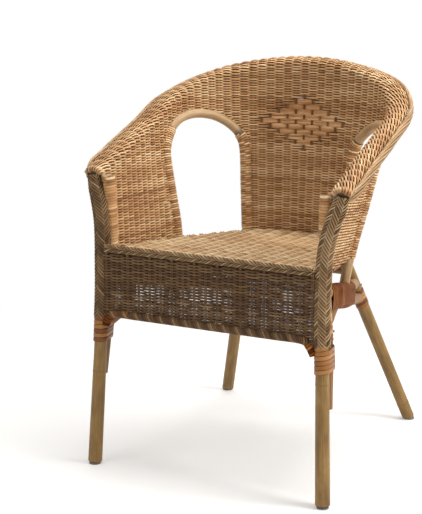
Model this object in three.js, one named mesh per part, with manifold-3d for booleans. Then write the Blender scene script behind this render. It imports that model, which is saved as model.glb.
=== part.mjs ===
import * as THREE from 'three';
import { mergeVertices } from 'three/addons/utils/BufferGeometryUtils.js';
import Module from 'manifold-3d';

const wasm = await Module();
wasm.setup();

// A woven rattan tub armchair in millimetres: x across, y from the front feet to the back, z up.

// Seat, from which the heights of the rest are counted
const seatHalfWidth = 226;
const seatSetback = 16;
const seatDepth = 436;
const seatFrontHeight = 451;
const seatFall = 27;
const seatThickness = 8;
const seatInset = 1.6;
const seatStakeSpacing = 21.5;
const skirtDrop = 14;
const edgeBraidRadius = 8.4;
const edgeBraidSetback = 4.5;

// Rolled rim of the tub, on the centre line of its pole
const armRise = 135;
const rimTipHeight = seatFrontHeight + armRise;
const rimHalfWidth = 260;
const rimTipSetback = 33;
const rimDepth = 453;
const rimRise = 192;
const rollHalfWidth = 24.8;
const rollHalfHeight = 19.6;
const weaveThickness = 7;
const borderHalfHeight = 9.4;
const borderHalfThickness = 3.7;
const borderProud = 0.9;
const borderTipInset = 9;
const borderTipDrop = 6;
const diamondGroupHeight = 10.6;
const diamondProud = 1.2;

// Windows in the tub, on the centre line of their bent poles
const windowLegRise = 145;
const windowArchRise = 80;
const windowSpring = seatFrontHeight + windowLegRise;
const windowTop = windowSpring + windowArchRise;
const windowPoleDrop = 79;
const windowPoleEnd = seatFrontHeight - windowPoleDrop;
const windowBackDrop = 24;

// Pole sizes
const legFootRadius = 14.4;
const legTopRadius = 11.4;
const backLegRadius = 13.4;
const rimPoleRadius = 10.6;
const innerPostRadius = 10.4;
const innerPostTailRadius = 7.4;
const windowPoleRadius = 10;
const railRadius = 12;
const archRailRadius = 11.6;
const seatHoopRadius = 10;
const frontRailRadius = 9;
const backRailRadius = 9;
const frontArchRadius = 6;

// Where the poles stand and run
const frontFootHalfWidth = 251;
const backFootHalfWidth = 226;
const backFootDepth = 552;
const backLegTopHalfWidth = 108.7;
const backLegTopDepth = 413;
const backLegDrop = 51;
const backLegTopHeight = seatFrontHeight - backLegDrop;
const backRailDrop = 99;
const backRailHeight = seatFrontHeight - backRailDrop;
const backRailBow = 8;
const railDrop = 80;
const railHeight = seatFrontHeight - railDrop;
const railFall = 100;
const railSpace = 1.2;
const railPitch = railRadius + archRailRadius + railSpace;
const apronSetback = 7;
const apronThickness = 6;
const apronHeight = 131;
const frontArchHeight = seatFrontHeight - apronHeight;
const frontArchDrop = 30;

// Cane, braid and small parts
const gap = 0.3;
const caneThickness = 1.6;
const collarThickness = 2.6;
const wrapThickness = 2.4;
const braidThickness = 3.8;
const collarDrop = 12;
const collarHeight = 51;
const collarHigh = frontArchHeight - collarDrop;
const collarLow = collarHigh - collarHeight;
const braidDrop = 11;
const braidHigh = rimTipHeight - braidDrop;
const backWrapDrop = 148;
const backWrapHeight = 26;
const backWrapHigh = seatFrontHeight - backWrapDrop;
const backWrapLow = backWrapHigh - backWrapHeight;
const glideRadius = 12;
const glideHeight = 3;
const nailRadius = 2.6;
const nailHeight = 1.8;
const nailShankRadius = 1.1;
const nailLength = 16;
const backNailDrop = 131;
const backNailHeight = seatFrontHeight - backNailDrop;
const postNailDrop = 119;
const postNailHeight = seatFrontHeight - postNailDrop;
const innerWrapClearance = 3;
const overrun = 60;

// Shares of those sizes, from an arm's tip to the middle of the back: across, back and up
const rimShares = [
  [1.009, 0, 0],
  [1.002, 0.225, 0.206],
  [0.999, 0.453, 0.397],
  [0.983, 0.676, 0.617],
  [0.78, 0.862, 0.825],
  [0.414, 0.966, 0.953],
  [0, 1, 1],
];
const seatShares = [
  [1, 0.002],
  [0.938, 0.208],
  [0.88, 0.414],
  [0.818, 0.62],
  [0.678, 0.815],
  [0.389, 0.956],
  [0, 1],
];
const seatSagShare = 1.35;
const weaveValleyShare = 0.45;
const diamondMiddleShare = 0.664;
const diamondCellShares = [0.96, 0.9];
const windowFootShare = 0.2165;
const windowFrontShare = 0.198;
const windowBackShare = 0.39;
const windowFacingShare = 0.3;
const postTailShare = 0.25;
const rollEndAngle = THREE.MathUtils.degToRad(28);
const borderAngle = THREE.MathUtils.degToRad(12);
const nailTurn = THREE.MathUtils.degToRad(27);

// Shares of a front leg's foot spread, the rim's setback and the rim's height, from the foot up
const legShares = [
  [1.005, -0.05, -0.05],
  [1, 0, 0],
  [0.948, 0.48, 0.53],
  [0.94, 0.58, 0.72],
  [0.958, 0.76, 0.86],
  [1.04, 1.1, 0.99],
];
const innerPostShares = [
  [0.98, 1, 0.314],
  [0.957, 1.2, 0.48],
  [0.932, 1.27, 0.6],
  [0.908, 1.28, 0.77],
  [0.912, 1.27, 0.88],
  [0.92, 1.2, 0.985],
];

// Shares of a front leg's foot spread, the back foot's depth and the rail's fall, from front to back
const railShares = [
  [0.915, 0.086, 0.326],
  [0.884, 0.205, 0.223],
  [0.813, 0.362, 0.015],
  [0.683, 0.56, -0.241],
];
const archEndShares = [[0.94, 0.075, -0.779], [0.87, 0.125, -0.557], [0.862, 0.165, -0.315]];
const archTailShares = [[0.61, 0.67, -0.649]];

// How far up a back leg the rails end on it
const railEndShare = 0.805;
const archEndShare = 0.725;

// Shares of the legs' half spacing at the seat and of the front arch's drop, from a corner inwards
const frontArchShares = [[0.95, 0.9], [0.91, 0.35], [0.85, 0.02], [0.6, 0]];

const materials = {
  pole: { color: 0xb08a55, roughness: 0.45, metalness: 0 },
  weave: { color: 0xb98a55, roughness: 0.6, metalness: 0 },
  apron: { color: 0x8a6d4c, roughness: 0.65, metalness: 0 },
  cane: { color: 0xb4713c, roughness: 0.45, metalness: 0 },
  braid: { color: 0xa98258, roughness: 0.55, metalness: 0 },
  glide: { color: 0x6f7276, roughness: 0.5, metalness: 0 },
  nail: { color: 0x2a2724, roughness: 0.4, metalness: 0.8 },
};

const point = (x, y, z) => new THREE.Vector3(x, y, z);
const upward = point(0, 0, 1);
const forward = point(0, -1, 0);
const mix = THREE.MathUtils.lerp;
const clamp = THREE.MathUtils.clamp;

// A closed geometry becomes a solid, so that a piece can be cut by its neighbours
function solid(geometry) {
  const bare = geometry.clone();
  bare.deleteAttribute('normal');
  bare.deleteAttribute('uv');
  const merged = mergeVertices(bare);
  const vertProperties = new Float32Array(merged.attributes.position.array);
  const triVerts = new Uint32Array(merged.index.array);
  return new wasm.Manifold(new wasm.Mesh({ numProp: 3, vertProperties, triVerts }));
}

function moveVertices(geometry, place) {
  const position = geometry.attributes.position;
  for (let i = 0; i < position.count; i += 1) {
    const moved = place(position.getX(i), position.getY(i), position.getZ(i));
    position.setXYZ(i, moved.x, moved.y, moved.z);
  }
  return geometry;
}

const without = (body, ...tools) => tools.flat().reduce((rest, tool) => rest.subtract(tool), body);
const joined = (...bodies) => bodies.flat().reduce((whole, body) => whole.add(body));
const disc = () => new THREE.Shape().absarc(0, 0, 1, 0, Math.PI * 2);
const even = (radius) => () => point(radius, radius, 0);
const oval = (across, facing) => () => point(across, facing, 0);
const tapered = (start, end, extra = 0) => (share) => even(mix(start, end, share) + extra)();
const asDrawn = () => point(1, 1, 0);
const smoothPath = (points) => new THREE.CatmullRomCurve3(points, false, 'catmullrom', 0.5);

// The outline round two poles that lie side by side, the first below the middle and the second above it
function twinOutline(reach, firstRadius, secondRadius) {
  const outline = new THREE.Shape();
  outline.absarc(0, -reach, firstRadius, Math.PI, Math.PI * 2);
  outline.absarc(0, reach, secondRadius, 0, Math.PI);
  return outline;
}

// An outline of unit size carried along a curve, with its y turned to the side that `facing` gives
function sweep(outline, curve, steps, facing, sizeAt, arcs = 4) {
  const settings = { depth: 1, steps, bevelEnabled: false, curveSegments: arcs };
  const geometry = new THREE.ExtrudeGeometry(outline, settings);
  return solid(moveVertices(geometry, (x, y, share) => {
    const along = curve.getTangentAt(share);
    const second = facing.clone().addScaledVector(along, -facing.dot(along)).normalize();
    const first = second.clone().cross(along);
    const size = sizeAt(share);
    return curve.getPointAt(share).addScaledVector(first, x * size.x).addScaledVector(second, y * size.y);
  }));
}

// The part of a curve that runs between two values of one of its coordinates
function stretch(curve, axis, low, high, pieces = 6, start = 0, end = 1) {
  const samples = curve.getSpacedPoints(Math.ceil(curve.getLength() / gap));
  const between = samples.slice(samples.length * start, samples.length * end);
  const kept = between.filter((sample) => sample[axis] >= low && sample[axis] <= high);
  const chosen = [];
  for (let i = 0; i <= pieces; i += 1) {
    chosen.push(kept[Math.round((kept.length - 1) * i / pieces)]);
  }
  return smoothPath(chosen);
}

function shifted(curve, offset, count) {
  return smoothPath(curve.getSpacedPoints(count).map((sample) => sample.add(offset)));
}

function block(low, high) {
  const size = high.clone().sub(low);
  const middle = low.clone().add(high).multiplyScalar(1 / 2);
  return solid(new THREE.BoxGeometry(size.x, size.y, size.z).translate(middle.x, middle.y, middle.z));
}

// Rails of the tub: each runs from the right arm's tip round the back to the left arm's tip
function tubRail(shares, place) {
  const right = shares.map((row) => place(1, row));
  const left = shares.slice(0, -1).reverse().map((row) => place(-1, row));
  return smoothPath([...right, ...left]);
}

// The seat falls towards the back, most steeply behind its front edge
function seatHeightAt(depth) {
  const back = clamp((depth - seatSetback) / seatDepth, 0, 1);
  return seatFrontHeight - seatFall * (1 - (1 - back) ** seatSagShare);
}

const rimLine = tubRail(rimShares, (side, [x, y, z]) => point(
  side * rimHalfWidth * x,
  rimTipSetback + rimDepth * y,
  rimTipHeight + rimRise * z,
));
const seatLine = tubRail(seatShares, (side, [x, y]) => point(
  side * seatHalfWidth * x,
  seatSetback + seatDepth * y,
  seatHeightAt(seatSetback + seatDepth * y),
));

function outwardOf(line, along) {
  const tangent = line.getTangent(along);
  return point(tangent.y, -tangent.x, 0).normalize();
}

// The roll over the rim pole, by its angle: 0 points out of the tub and a quarter turn points up
function rollPoint(along, angle, extra = 0) {
  return rimLine.getPoint(along)
    .addScaledVector(outwardOf(rimLine, along), (rollHalfWidth + extra) * Math.cos(angle))
    .addScaledVector(upward, (rollHalfHeight + extra) * Math.sin(angle));
}

// The tub's wall from the seat (rise 0) to the inner side of the roll (rise 1)
function wallSkin(along, rise) {
  const foot = seatLine.getPoint(along);
  const head = rollPoint(along, Math.PI);
  const neck = head.clone().addScaledVector(upward, (foot.z - head.z) / 3);
  const lean = foot.clone().lerp(head, 1 / 3);
  const rest = 1 - rise;
  return foot.multiplyScalar(rest ** 3)
    .addScaledVector(lean, 3 * rest ** 2 * rise)
    .addScaledVector(neck, 3 * rest * rise ** 2)
    .addScaledVector(head, rise ** 3);
}

function wallPoint(along, height, depth) {
  const foot = seatLine.getPoint(along).z;
  const rise = (height - foot) / (rimLine.getPoint(along).z - foot);
  const nudgeShare = 1 / 1000;
  const ahead = wallSkin(Math.min(along + nudgeShare, 1), rise);
  const across = ahead.sub(wallSkin(Math.max(along - nudgeShare, 0), rise));
  const climb = wallSkin(along, rise + nudgeShare).sub(wallSkin(along, rise - nudgeShare));
  return wallSkin(along, rise).addScaledVector(across.cross(climb).normalize(), depth);
}

function tubPoint(along, up, depth) {
  const wallShare = 2 / 5;
  if (up <= wallShare) {
    const low = seatLine.getPoint(along).z - skirtDrop;
    return wallPoint(along, mix(low, rimLine.getPoint(along).z, up / wallShare), depth);
  }
  const angle = mix(Math.PI, rollEndAngle, (up - wallShare) / (1 - wallShare));
  return rollPoint(along, angle, -depth);
}

// The seat's edge follows the wall, and runs straight across the foot of each window
function seatEdge(along, inset) {
  const inside = (share) => seatLine.getPoint(share).addScaledVector(outwardOf(seatLine, share), -inset);
  const share = Math.min(along, 1 - along);
  const across = (share - windowFootShare) / (windowBackShare - windowFootShare);
  if (across <= 0 || across >= 1) {
    return inside(along);
  }
  const ends = [windowFootShare, windowBackShare].map((end) => inside(along < 1 / 2 ? end : 1 - end));
  return ends[0].lerp(ends[1], across);
}

// Front legs, and the inner posts that run down from the tub behind them
function frontPath(side, shares) {
  const place = ([x, y, z]) => point(side * frontFootHalfWidth * x, rimTipSetback * y, rimTipHeight * z);
  return smoothPath(shares.map(place));
}

const innerPostSize = (extra) => (share) => {
  const tail = clamp(share / postTailShare, 0, 1);
  return even(mix(innerPostTailRadius, innerPostRadius, tail) + extra)();
};

function backLegPath(side, past = 0) {
  const foot = point(side * backFootHalfWidth, backFootDepth, 0);
  const top = point(side * backLegTopHalfWidth, backLegTopDepth, backLegTopHeight);
  const rise = top.clone().sub(foot).normalize();
  return new THREE.LineCurve3(foot.addScaledVector(rise, -overrun / 2), top.addScaledVector(rise, past));
}

function backLegPoint(side, share) {
  const foot = point(side * backFootHalfWidth, backFootDepth, 0);
  return foot.lerp(point(side * backLegTopHalfWidth, backLegTopDepth, backLegTopHeight), share);
}

// Side rails under the arms, and the arched rails wrapped to them
function railPoint(side, [x, y, z]) {
  return point(side * frontFootHalfWidth * x, backFootDepth * y, railHeight + railFall * z);
}

function railPath(side) {
  return smoothPath([...railShares.map((row) => railPoint(side, row)), backLegPoint(side, railEndShare)]);
}

function archPath(side) {
  const wrapped = railShares.slice(1, 4).map((row) => railPoint(side, row));
  const below = wrapped.map((place) => place.addScaledVector(upward, -railPitch));
  const ends = [archEndShares, archTailShares].map((rows) => rows.map((row) => railPoint(side, row)));
  return smoothPath([...ends[0], ...below, ...ends[1], backLegPoint(side, archEndShare)]);
}

// A window's outline by its share along the tub and its height, from its front foot to its back foot
const windowLean = (height) => {
  const climb = clamp((windowSpring - height) / (windowSpring - seatFrontHeight), 0, 1);
  return mix(windowFrontShare, windowFootShare, climb);
};

function windowRows(side) {
  const legHeights = [seatFrontHeight, mix(seatFrontHeight, windowSpring, 1 / 2)];
  const rows = [windowPoleEnd, ...legHeights].map((height) => [windowLean(height), height]);
  const archSteps = 8;
  for (let i = 0; i <= archSteps; i += 1) {
    const turn = Math.PI * i / archSteps;
    const share = mix(windowFrontShare, windowBackShare, (1 - Math.cos(turn)) / 2);
    rows.push([share, mix(windowSpring, windowTop, Math.sin(turn))]);
  }
  const backHeights = [seatFrontHeight - seatFall - windowBackDrop, ...legHeights].reverse();
  rows.push(...backHeights.map((height) => [windowBackShare, height]));
  return rows.map(([share, height]) => [side > 0 ? share : 1 - share, height]);
}

function windowPath(side) {
  return smoothPath(windowRows(side).map(([along, height]) => wallPoint(along, height, weaveThickness / 2)));
}

// What the window leaves out of the tub's wall, from below the seat up to the arch of its pole
function windowHole(side) {
  const geometry = new THREE.BoxGeometry(1, 1, 1, 8, 3, 1);
  return solid(moveVertices(geometry, (x, y, z) => {
    const turn = Math.PI * (1 / 2 + side * x);
    const top = mix(windowSpring, windowTop, Math.sin(turn));
    const height = mix(seatFrontHeight - overrun, top, y + 1 / 2);
    const share = mix(windowLean(height), windowBackShare, (1 - Math.cos(turn)) / 2);
    return wallPoint(side > 0 ? share : 1 - share, height, overrun * z);
  }));
}

// A nail driven into the outer side of an upright pole, and the room that it takes
function makeNail(line, height, poleRadius, side) {
  const samples = line.getSpacedPoints(Math.ceil(line.getLength()));
  const [place] = samples.sort((a, b) => Math.abs(a.z - height) - Math.abs(b.z - height));
  const out = point(side * Math.cos(nailTurn), Math.sin(nailTurn), 0);
  place.addScaledVector(out, poleRadius + gap);
  const turned = new THREE.Quaternion().setFromUnitVectors(point(0, 1, 0), out);
  const make = (extra) => {
    const shank = nailShankRadius + extra;
    const tip = -nailLength - extra;
    const profile = [[0, tip], [shank, tip], [shank, -extra]];
    profile.push([nailRadius, -extra], [nailRadius, nailHeight], [0, nailHeight]);
    const lathe = new THREE.LatheGeometry(profile.map(([x, y]) => new THREE.Vector2(x, y)), 8);
    return solid(lathe.applyQuaternion(turned).translate(place.x, place.y, place.z));
  };
  return { body: make(0), room: make(gap) };
}

const pieces = [];
const add = (name, body, material) => pieces.push({ name, body, material });

const rimTip = rimLine.getPoint(0);
const rimSlope = rimLine.getTangent(0);
const rimSection = (extra) => sweep(disc(), rimLine, 40, upward, even(rimPoleRadius + extra));
const rimPole = rimSection(0);
const rimNose = [1, -1].map((side) => {
  const start = point(side * rimTip.x, rimTip.y, rimTip.z);
  const ahead = start.clone().addScaledVector(rimSlope, -overrun / 2);
  ahead.x = start.x;
  return sweep(disc(), new THREE.LineCurve3(ahead, start), 1, upward, even(rimPoleRadius + gap));
});
const rimRoom = joined(rimSection(gap), rimNose);
const belowFloor = block(
  point(-backFootDepth, -backFootDepth, -overrun),
  point(backFootDepth, backFootDepth * 2, glideHeight + gap),
);

const seatHoopInset = windowPoleRadius + seatHoopRadius - weaveThickness / 2 + gap;
const seatHoopLine = (() => {
  const drop = seatThickness + seatHoopRadius + gap * 2;
  const rows = [];
  const count = 16;
  for (let i = 0; i <= count; i += 1) {
    rows.push(seatEdge(i / count, seatHoopInset).addScaledVector(upward, -drop));
  }
  return smoothPath(rows);
})();
const underSeat = (depth) => seatHeightAt(depth) - seatThickness - gap;
const frontRailDepth = apronSetback + apronThickness / 2 + frontRailRadius + gap;
const frontRailHeight = underSeat(frontRailDepth + frontRailRadius) - frontRailRadius;
const frontCorner = frontFootHalfWidth * legShares[3][0];
const frontRailEnds = [1, -1].map((side) => point(side * frontCorner, frontRailDepth, frontRailHeight));
const frontRailLine = new THREE.LineCurve3(...frontRailEnds);
const frontRailBar = (extra) => sweep(disc(), frontRailLine, 1, upward, even(frontRailRadius + extra));
const seatHoopBar = (extra) => sweep(disc(), seatHoopLine, 24, upward, even(seatHoopRadius + extra));

const edgeBraidLine = new THREE.LineCurve3(
  point(frontCorner, edgeBraidSetback, seatFrontHeight),
  point(-frontCorner, edgeBraidSetback, seatFrontHeight),
);
const edgeBraidBar = (extra) => sweep(disc(), edgeBraidLine, 1, upward, even(edgeBraidRadius + extra));

const frontArchLine = (() => {
  const right = frontArchShares.map(([across, drop]) => (
    point(frontCorner * across, apronSetback, frontArchHeight - frontArchDrop * drop)
  ));
  const left = right.map((place) => point(-place.x, place.y, place.z)).reverse();
  return smoothPath([...right, point(0, apronSetback, frontArchHeight), ...left]);
})();
const frontArchBar = (extra) => sweep(disc(), frontArchLine, 14, forward, even(frontArchRadius + extra));

// One side of the chair at a time, kept by side so that later pieces can be cut by them
function makeSide(side, label) {
  const legLine = frontPath(side, legShares);
  const legSize = (extra) => tapered(legFootRadius, legTopRadius, extra);
  const legBar = (extra) => sweep(disc(), legLine, 8, forward, legSize(extra), 5);
  const leg = without(legBar(0), belowFloor, rimRoom);

  const postLine = frontPath(side, innerPostShares);
  const postBar = (extra) => sweep(disc(), postLine, 8, forward, innerPostSize(extra));
  const post = without(postBar(0), legBar(gap), rimRoom);

  const windowLine = windowPath(side);
  const windowFacing = outwardOf(seatLine, side > 0 ? windowFacingShare : 1 - windowFacingShare);
  const windowBar = (extra) => sweep(disc(), windowLine, 22, windowFacing, even(windowPoleRadius + extra));

  const backLine = backLegPath(side);
  const backBar = (extra) => {
    const size = even(backLegRadius + extra);
    return sweep(disc(), backLegPath(side, extra), 1, forward, size, 5);
  };
  const backLeg = without(backBar(0), belowFloor, seatHoopBar(gap));

  const railLine = railPath(side);
  const railBar = (extra) => sweep(disc(), railLine, 8, upward, even(railRadius + extra));
  const archLine = archPath(side);
  const archBar = (extra) => sweep(disc(), archLine, 12, upward, even(archRailRadius + extra));
  const backNail = makeNail(backLine, backNailHeight, backLegRadius, side);
  const railTools = [postBar(gap), legBar(gap), backBar(gap), backNail.room];
  const rail = without(railBar(0), railTools);
  const arch = without(archBar(0), railTools, railBar(gap));

  const collarLeg = stretch(legLine, 'z', collarLow, collarHigh, 2);
  const collarPost = stretch(postLine, 'z', collarLow, collarHigh, 2);
  const between = collarPost.getPoint(1 / 2).sub(collarLeg.getPoint(1 / 2));
  const collarLine = shifted(collarLeg, between.clone().multiplyScalar(1 / 2), 2);
  const collarRadius = mix(legFootRadius, legTopRadius, 1 / 2) + collarThickness;
  const collarBar = (extra) => {
    const postCollarRadius = innerPostRadius + collarThickness + extra;
    const outline = twinOutline(between.length() / 2, collarRadius + extra, postCollarRadius);
    return sweep(outline, collarLine, 2, between.clone().normalize(), asDrawn, 5);
  };
  const collar = without(collarBar(0), legBar(gap), postBar(gap), archBar(gap));

  const [, wrapFront, , wrapBack] = railShares.map(([, depth]) => backFootDepth * depth);
  const wrappedLine = shifted(stretch(railLine, 'y', wrapFront, wrapBack), point(0, 0, -railPitch / 2), 6);
  const wrapBar = (extra) => {
    const cane = caneThickness + extra;
    const outline = twinOutline(railPitch / 2, archRailRadius + cane, railRadius + cane);
    return sweep(outline, wrappedLine, 4, upward, asDrawn);
  };
  const railWrap = without(wrapBar(0), railBar(gap), archBar(gap));
  const windowHoop = without(windowBar(0), backBar(gap), wrapBar(gap));

  const backWrapLine = stretch(backLine, 'z', backWrapLow, backWrapHigh, 2);
  const backWrap = without(
    sweep(disc(), backWrapLine, 1, forward, even(backLegRadius + collarThickness), 5),
    backBar(gap), archBar(gap),
  );

  const aboveCollar = collarHigh + gap * 3;
  const legBraidLine = stretch(legLine, 'z', aboveCollar, braidHigh, 8);
  const legBraidRadius = mix(legFootRadius, legTopRadius, 3 / 4) + braidThickness;
  const legBraidBar = (extra) => sweep(disc(), legBraidLine, 5, forward, even(legBraidRadius + extra), 5);
  const underRail = railPoint(side, railShares[0]).z - railRadius - caneThickness * 2;
  const postCaneLine = stretch(postLine, 'z', aboveCollar, underRail, 2);
  const postCaneRadius = innerPostRadius + caneThickness;
  const postCaneBar = (extra) => sweep(disc(), postCaneLine, 1, forward, even(postCaneRadius + extra));

  const postNail = makeNail(postCaneLine, postNailHeight, postCaneRadius, side);

  const innerWrapLine = stretch(postLine, 'z', seatFrontHeight + gap, rimTipHeight - innerWrapClearance, 4);
  const innerWrapRadius = innerPostRadius + wrapThickness;
  const innerWrapBar = (extra) => sweep(disc(), innerWrapLine, 4, forward, even(innerWrapRadius + extra));
  const innerWrap = without(innerWrapBar(0), postBar(gap), legBar(gap), rimRoom);
  const legBraid = without(
    legBraidBar(0),
    [legBar, postBar, postCaneBar, innerWrapBar, frontRailBar, railBar, archBar].map((bar) => bar(gap)),
  );

  const wrapLow = seatFrontHeight - seatFall + gap;
  const windowWraps = Object.entries({ front: [0, 1 / 2], back: [1 / 2, 1] }).map(([edge, ends]) => {
    const line = stretch(windowLine, 'z', wrapLow, windowSpring, 4, ...ends);
    const radius = windowPoleRadius + wrapThickness;
    const bar = (extra) => sweep(disc(), line, 4, forward, even(radius + extra));
    return { name: `${label}_window_${edge}_wrap`, body: without(bar(0), windowBar(gap)), room: bar(gap) };
  });

  add(`front_${label}_leg`, leg, 'pole');
  add(`back_${label}_leg`, without(backLeg, backNail.room), 'pole');
  add(`${label}_inner_post`, without(post, postNail.room), 'pole');
  add(`${label}_window_hoop`, windowHoop, 'pole');
  add(`${label}_side_rail`, rail, 'pole');
  add(`${label}_arched_rail`, arch, 'pole');
  add(`${label}_leg_collar`, collar, 'cane');
  const postCane = without(postCaneBar(0), postBar(gap), legBar(gap), archBar(gap), postNail.room);
  add(`${label}_post_wrap`, postCane, 'cane');
  add(`${label}_post_nail`, postNail.body, 'nail');
  add(`${label}_back_leg_nail`, backNail.body, 'nail');
  add(`${label}_rail_wrap`, railWrap, 'cane');
  add(`${label}_back_leg_wrap`, backWrap, 'cane');
  add(`${label}_leg_braid`, legBraid, 'braid');
  add(`${label}_inner_post_wrap`, innerWrap, 'weave');
  windowWraps.forEach((wrap) => add(wrap.name, wrap.body, 'weave'));

  const feet = { front: [frontFootHalfWidth, 0], back: [backFootHalfWidth, backFootDepth] };
  Object.entries(feet).forEach(([end, [halfWidth, depth]]) => {
    const glide = new THREE.CylinderGeometry(glideRadius, glideRadius, glideHeight, 14);
    glide.rotateX(Math.PI / 2).translate(side * halfWidth, depth, glideHeight / 2);
    add(`${end}_${label}_glide`, solid(glide), 'glide');
  });

  return {
    leg: legBar(gap),
    post: postBar(gap),
    window: windowBar(gap),
    back: backBar(gap),
    legBraid: legBraidBar(gap),
    innerWrap: innerWrapBar(gap),
    windowWraps: windowWraps.map((wrap) => wrap.room),
    collar: collarBar(gap),
    hole: windowHole(side),
  };
}

const sides = [makeSide(1, 'right'), makeSide(-1, 'left')];
const every = (name) => sides.flatMap((side) => side[name]);

add('rim_pole', rimPole, 'pole');
const aheadOfRail = block(
  point(-rimHalfWidth, -overrun, 0),
  point(rimHalfWidth, frontRailDepth, rimTipHeight),
);
const hoopTools = [aheadOfRail, frontRailBar(gap), every('post'), every('window')];
add('seat_hoop', without(seatHoopBar(0), ...hoopTools), 'pole');
add('front_rail', without(frontRailBar(0), every('leg'), every('post')), 'pole');
const backRailEnds = [1, -1].map((side) => backLegPoint(side, backRailHeight / backLegTopHeight));
const backRailMiddle = point(0, backRailEnds[0].y + backRailBow, backRailHeight);
const backRailLine = new THREE.QuadraticBezierCurve3(backRailEnds[0], backRailMiddle, backRailEnds[1]);
const backRailBar = sweep(disc(), backRailLine, 8, upward, even(backRailRadius));
add('back_rail', without(backRailBar, every('back')), 'pole');
add('front_arch_pole', without(frontArchBar(0), every('legBraid'), every('collar')), 'pole');

// Woven pieces
function borderBar(extra) {
  const rows = [];
  const count = 40;
  for (let i = 0; i <= count; i += 1) {
    const atTip = i === 0 || i === count;
    const place = rollPoint(i / count, borderAngle, atTip ? -borderTipInset : borderProud);
    rows.push(place.addScaledVector(upward, atTip ? -borderTipDrop : 0));
  }
  const size = oval(borderHalfThickness + extra, borderHalfHeight + extra);
  return sweep(disc(), smoothPath(rows), count, upward, size);
}
add('rim_border', borderBar(0), 'braid');

// The weave is thick where its rows pass over and under a stake, and thin half way to the next
const swellAt = (share, columns) => (Math.round(share * columns) % 2 === 0 ? 1 : weaveValleyShare);

function makeTub() {
  const spacings = 64;
  const columns = spacings * 2;
  const tub = new THREE.BoxGeometry(1, 1, 1, columns, 10, 1);
  moveVertices(tub, (x, y, z) => {
    const depth = weaveThickness * (1 / 2 + z * swellAt(x + 1 / 2, columns));
    return tubPoint(x + 1 / 2, y + 1 / 2, depth);
  });
  return joined(solid(tub), makeDiamond(spacings));
}

// The diamond on the back: groups of rows that stand proud over one stake and behind the next
function makeDiamond(spacings) {
  const reach = 4;
  const [wide, tall] = diamondCellShares;
  const middle = mix(seatLine.getPoint(1 / 2).z, rimLine.getPoint(1 / 2).z, diamondMiddleShare);
  const cells = [];
  for (let stake = -reach; stake <= reach; stake += 1) {
    for (let group = Math.abs(stake) - reach; group <= reach - Math.abs(stake); group += 1) {
      const inside = (stake + group) % 2 === 0 ? -1 : 1;
      const cell = new THREE.BoxGeometry(1, 1, 1, 2, 1, 1);
      cells.push(solid(moveVertices(cell, (x, y, z) => {
        const along = 1 / 2 + (stake + x * wide) / spacings;
        const height = middle + diamondGroupHeight * (group + y * tall);
        const thick = weaveThickness / 2 * (x === 0 ? 1 : weaveValleyShare) + diamondProud;
        return wallPoint(along, height, weaveThickness / 2 + thick * (inside + z * 2) / 2);
      })));
    }
  }
  return cells;
}
const tubFront = rimTipSetback * innerPostShares[3][1];
const frontRoom = block(
  point(-rimHalfWidth * 2, -overrun, 0),
  point(rimHalfWidth * 2, tubFront, rimTipHeight - rollHalfHeight / 2),
);
const tubTools = ['hole', 'window', 'windowWraps', 'innerWrap', 'post', 'legBraid'];
add('tub_weave', without(makeTub(), frontRoom, tubTools.flatMap(every), borderBar(gap)), 'weave');

function seatOutline() {
  const edge = [];
  const count = 40;
  for (let i = 0; i <= count; i += 1) {
    const place = seatEdge(i / count, seatInset);
    edge.push(new THREE.Vector2(place.x, place.y));
  }
  const corners = [edge[0], edge[count]].map(({ x }) => new THREE.Vector2(x, edgeBraidSetback));
  return new THREE.Shape([corners[0], ...edge, corners[1]]);
}

function makeSeat() {
  const columns = 44;
  const rows = 10;
  const sheet = new THREE.BoxGeometry(1, 1, 1, columns, rows, 1);
  moveVertices(sheet, (x, y, z) => {
    const row = Math.round((y + 1 / 2) * rows);
    const depth = row === 0 ? 0 : seatSetback + seatDepth * (row - 1) / (rows - 1);
    const thick = seatThickness * swellAt(x + 1 / 2, columns);
    const height = seatHeightAt(depth) - seatThickness / 2 + z * thick;
    return point(x * columns / 2 * seatStakeSpacing, depth, height);
  });
  const prism = new THREE.ExtrudeGeometry(seatOutline(), { depth: overrun * 2, bevelEnabled: false });
  return solid(prism.translate(0, 0, seatFrontHeight - overrun)).intersect(solid(sheet));
}
const seatTools = ['legBraid', 'post', 'innerWrap', 'window', 'windowWraps'];
add('seat_weave', without(makeSeat(), edgeBraidBar(gap), seatTools.flatMap(every)), 'weave');
add('seat_edge_braid', without(edgeBraidBar(0), every('legBraid')), 'braid');

function apronOutline() {
  const low = frontArchLine.getSpacedPoints(20).map((place) => new THREE.Vector2(place.x, place.z));
  const top = underSeat(frontRailDepth);
  const rightEdge = [top, collarHigh].map((height) => new THREE.Vector2(frontCorner, height));
  const leftEdge = [collarHigh, top].map((height) => new THREE.Vector2(-frontCorner, height));
  return new THREE.Shape([...rightEdge, ...low, ...leftEdge]);
}
const apron = new THREE.ExtrudeGeometry(apronOutline(), { depth: apronThickness, bevelEnabled: false });
apron.rotateX(Math.PI / 2).translate(0, apronSetback + apronThickness / 2, 0);
const apronTools = [frontArchBar(gap), edgeBraidBar(gap), ...['legBraid', 'leg', 'collar'].flatMap(every)];
add('front_apron', without(solid(apron), apronTools), 'apron');

const chair = new THREE.Group();
chair.position.y = -(backFootDepth + backLegRadius - legFootRadius) / 2;
pieces.forEach(({ name, body, material }) => {
  const mesh = body.getMesh();
  const geometry = new THREE.BufferGeometry();
  geometry.setAttribute('position', new THREE.BufferAttribute(new Float32Array(mesh.vertProperties), 3));
  geometry.setIndex(new THREE.BufferAttribute(new Uint32Array(mesh.triVerts), 1));
  geometry.computeVertexNormals();
  const piece = new THREE.Mesh(geometry, new THREE.MeshStandardMaterial(materials[material]));
  piece.name = name;
  chair.add(piece);
});

export default chair;
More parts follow.
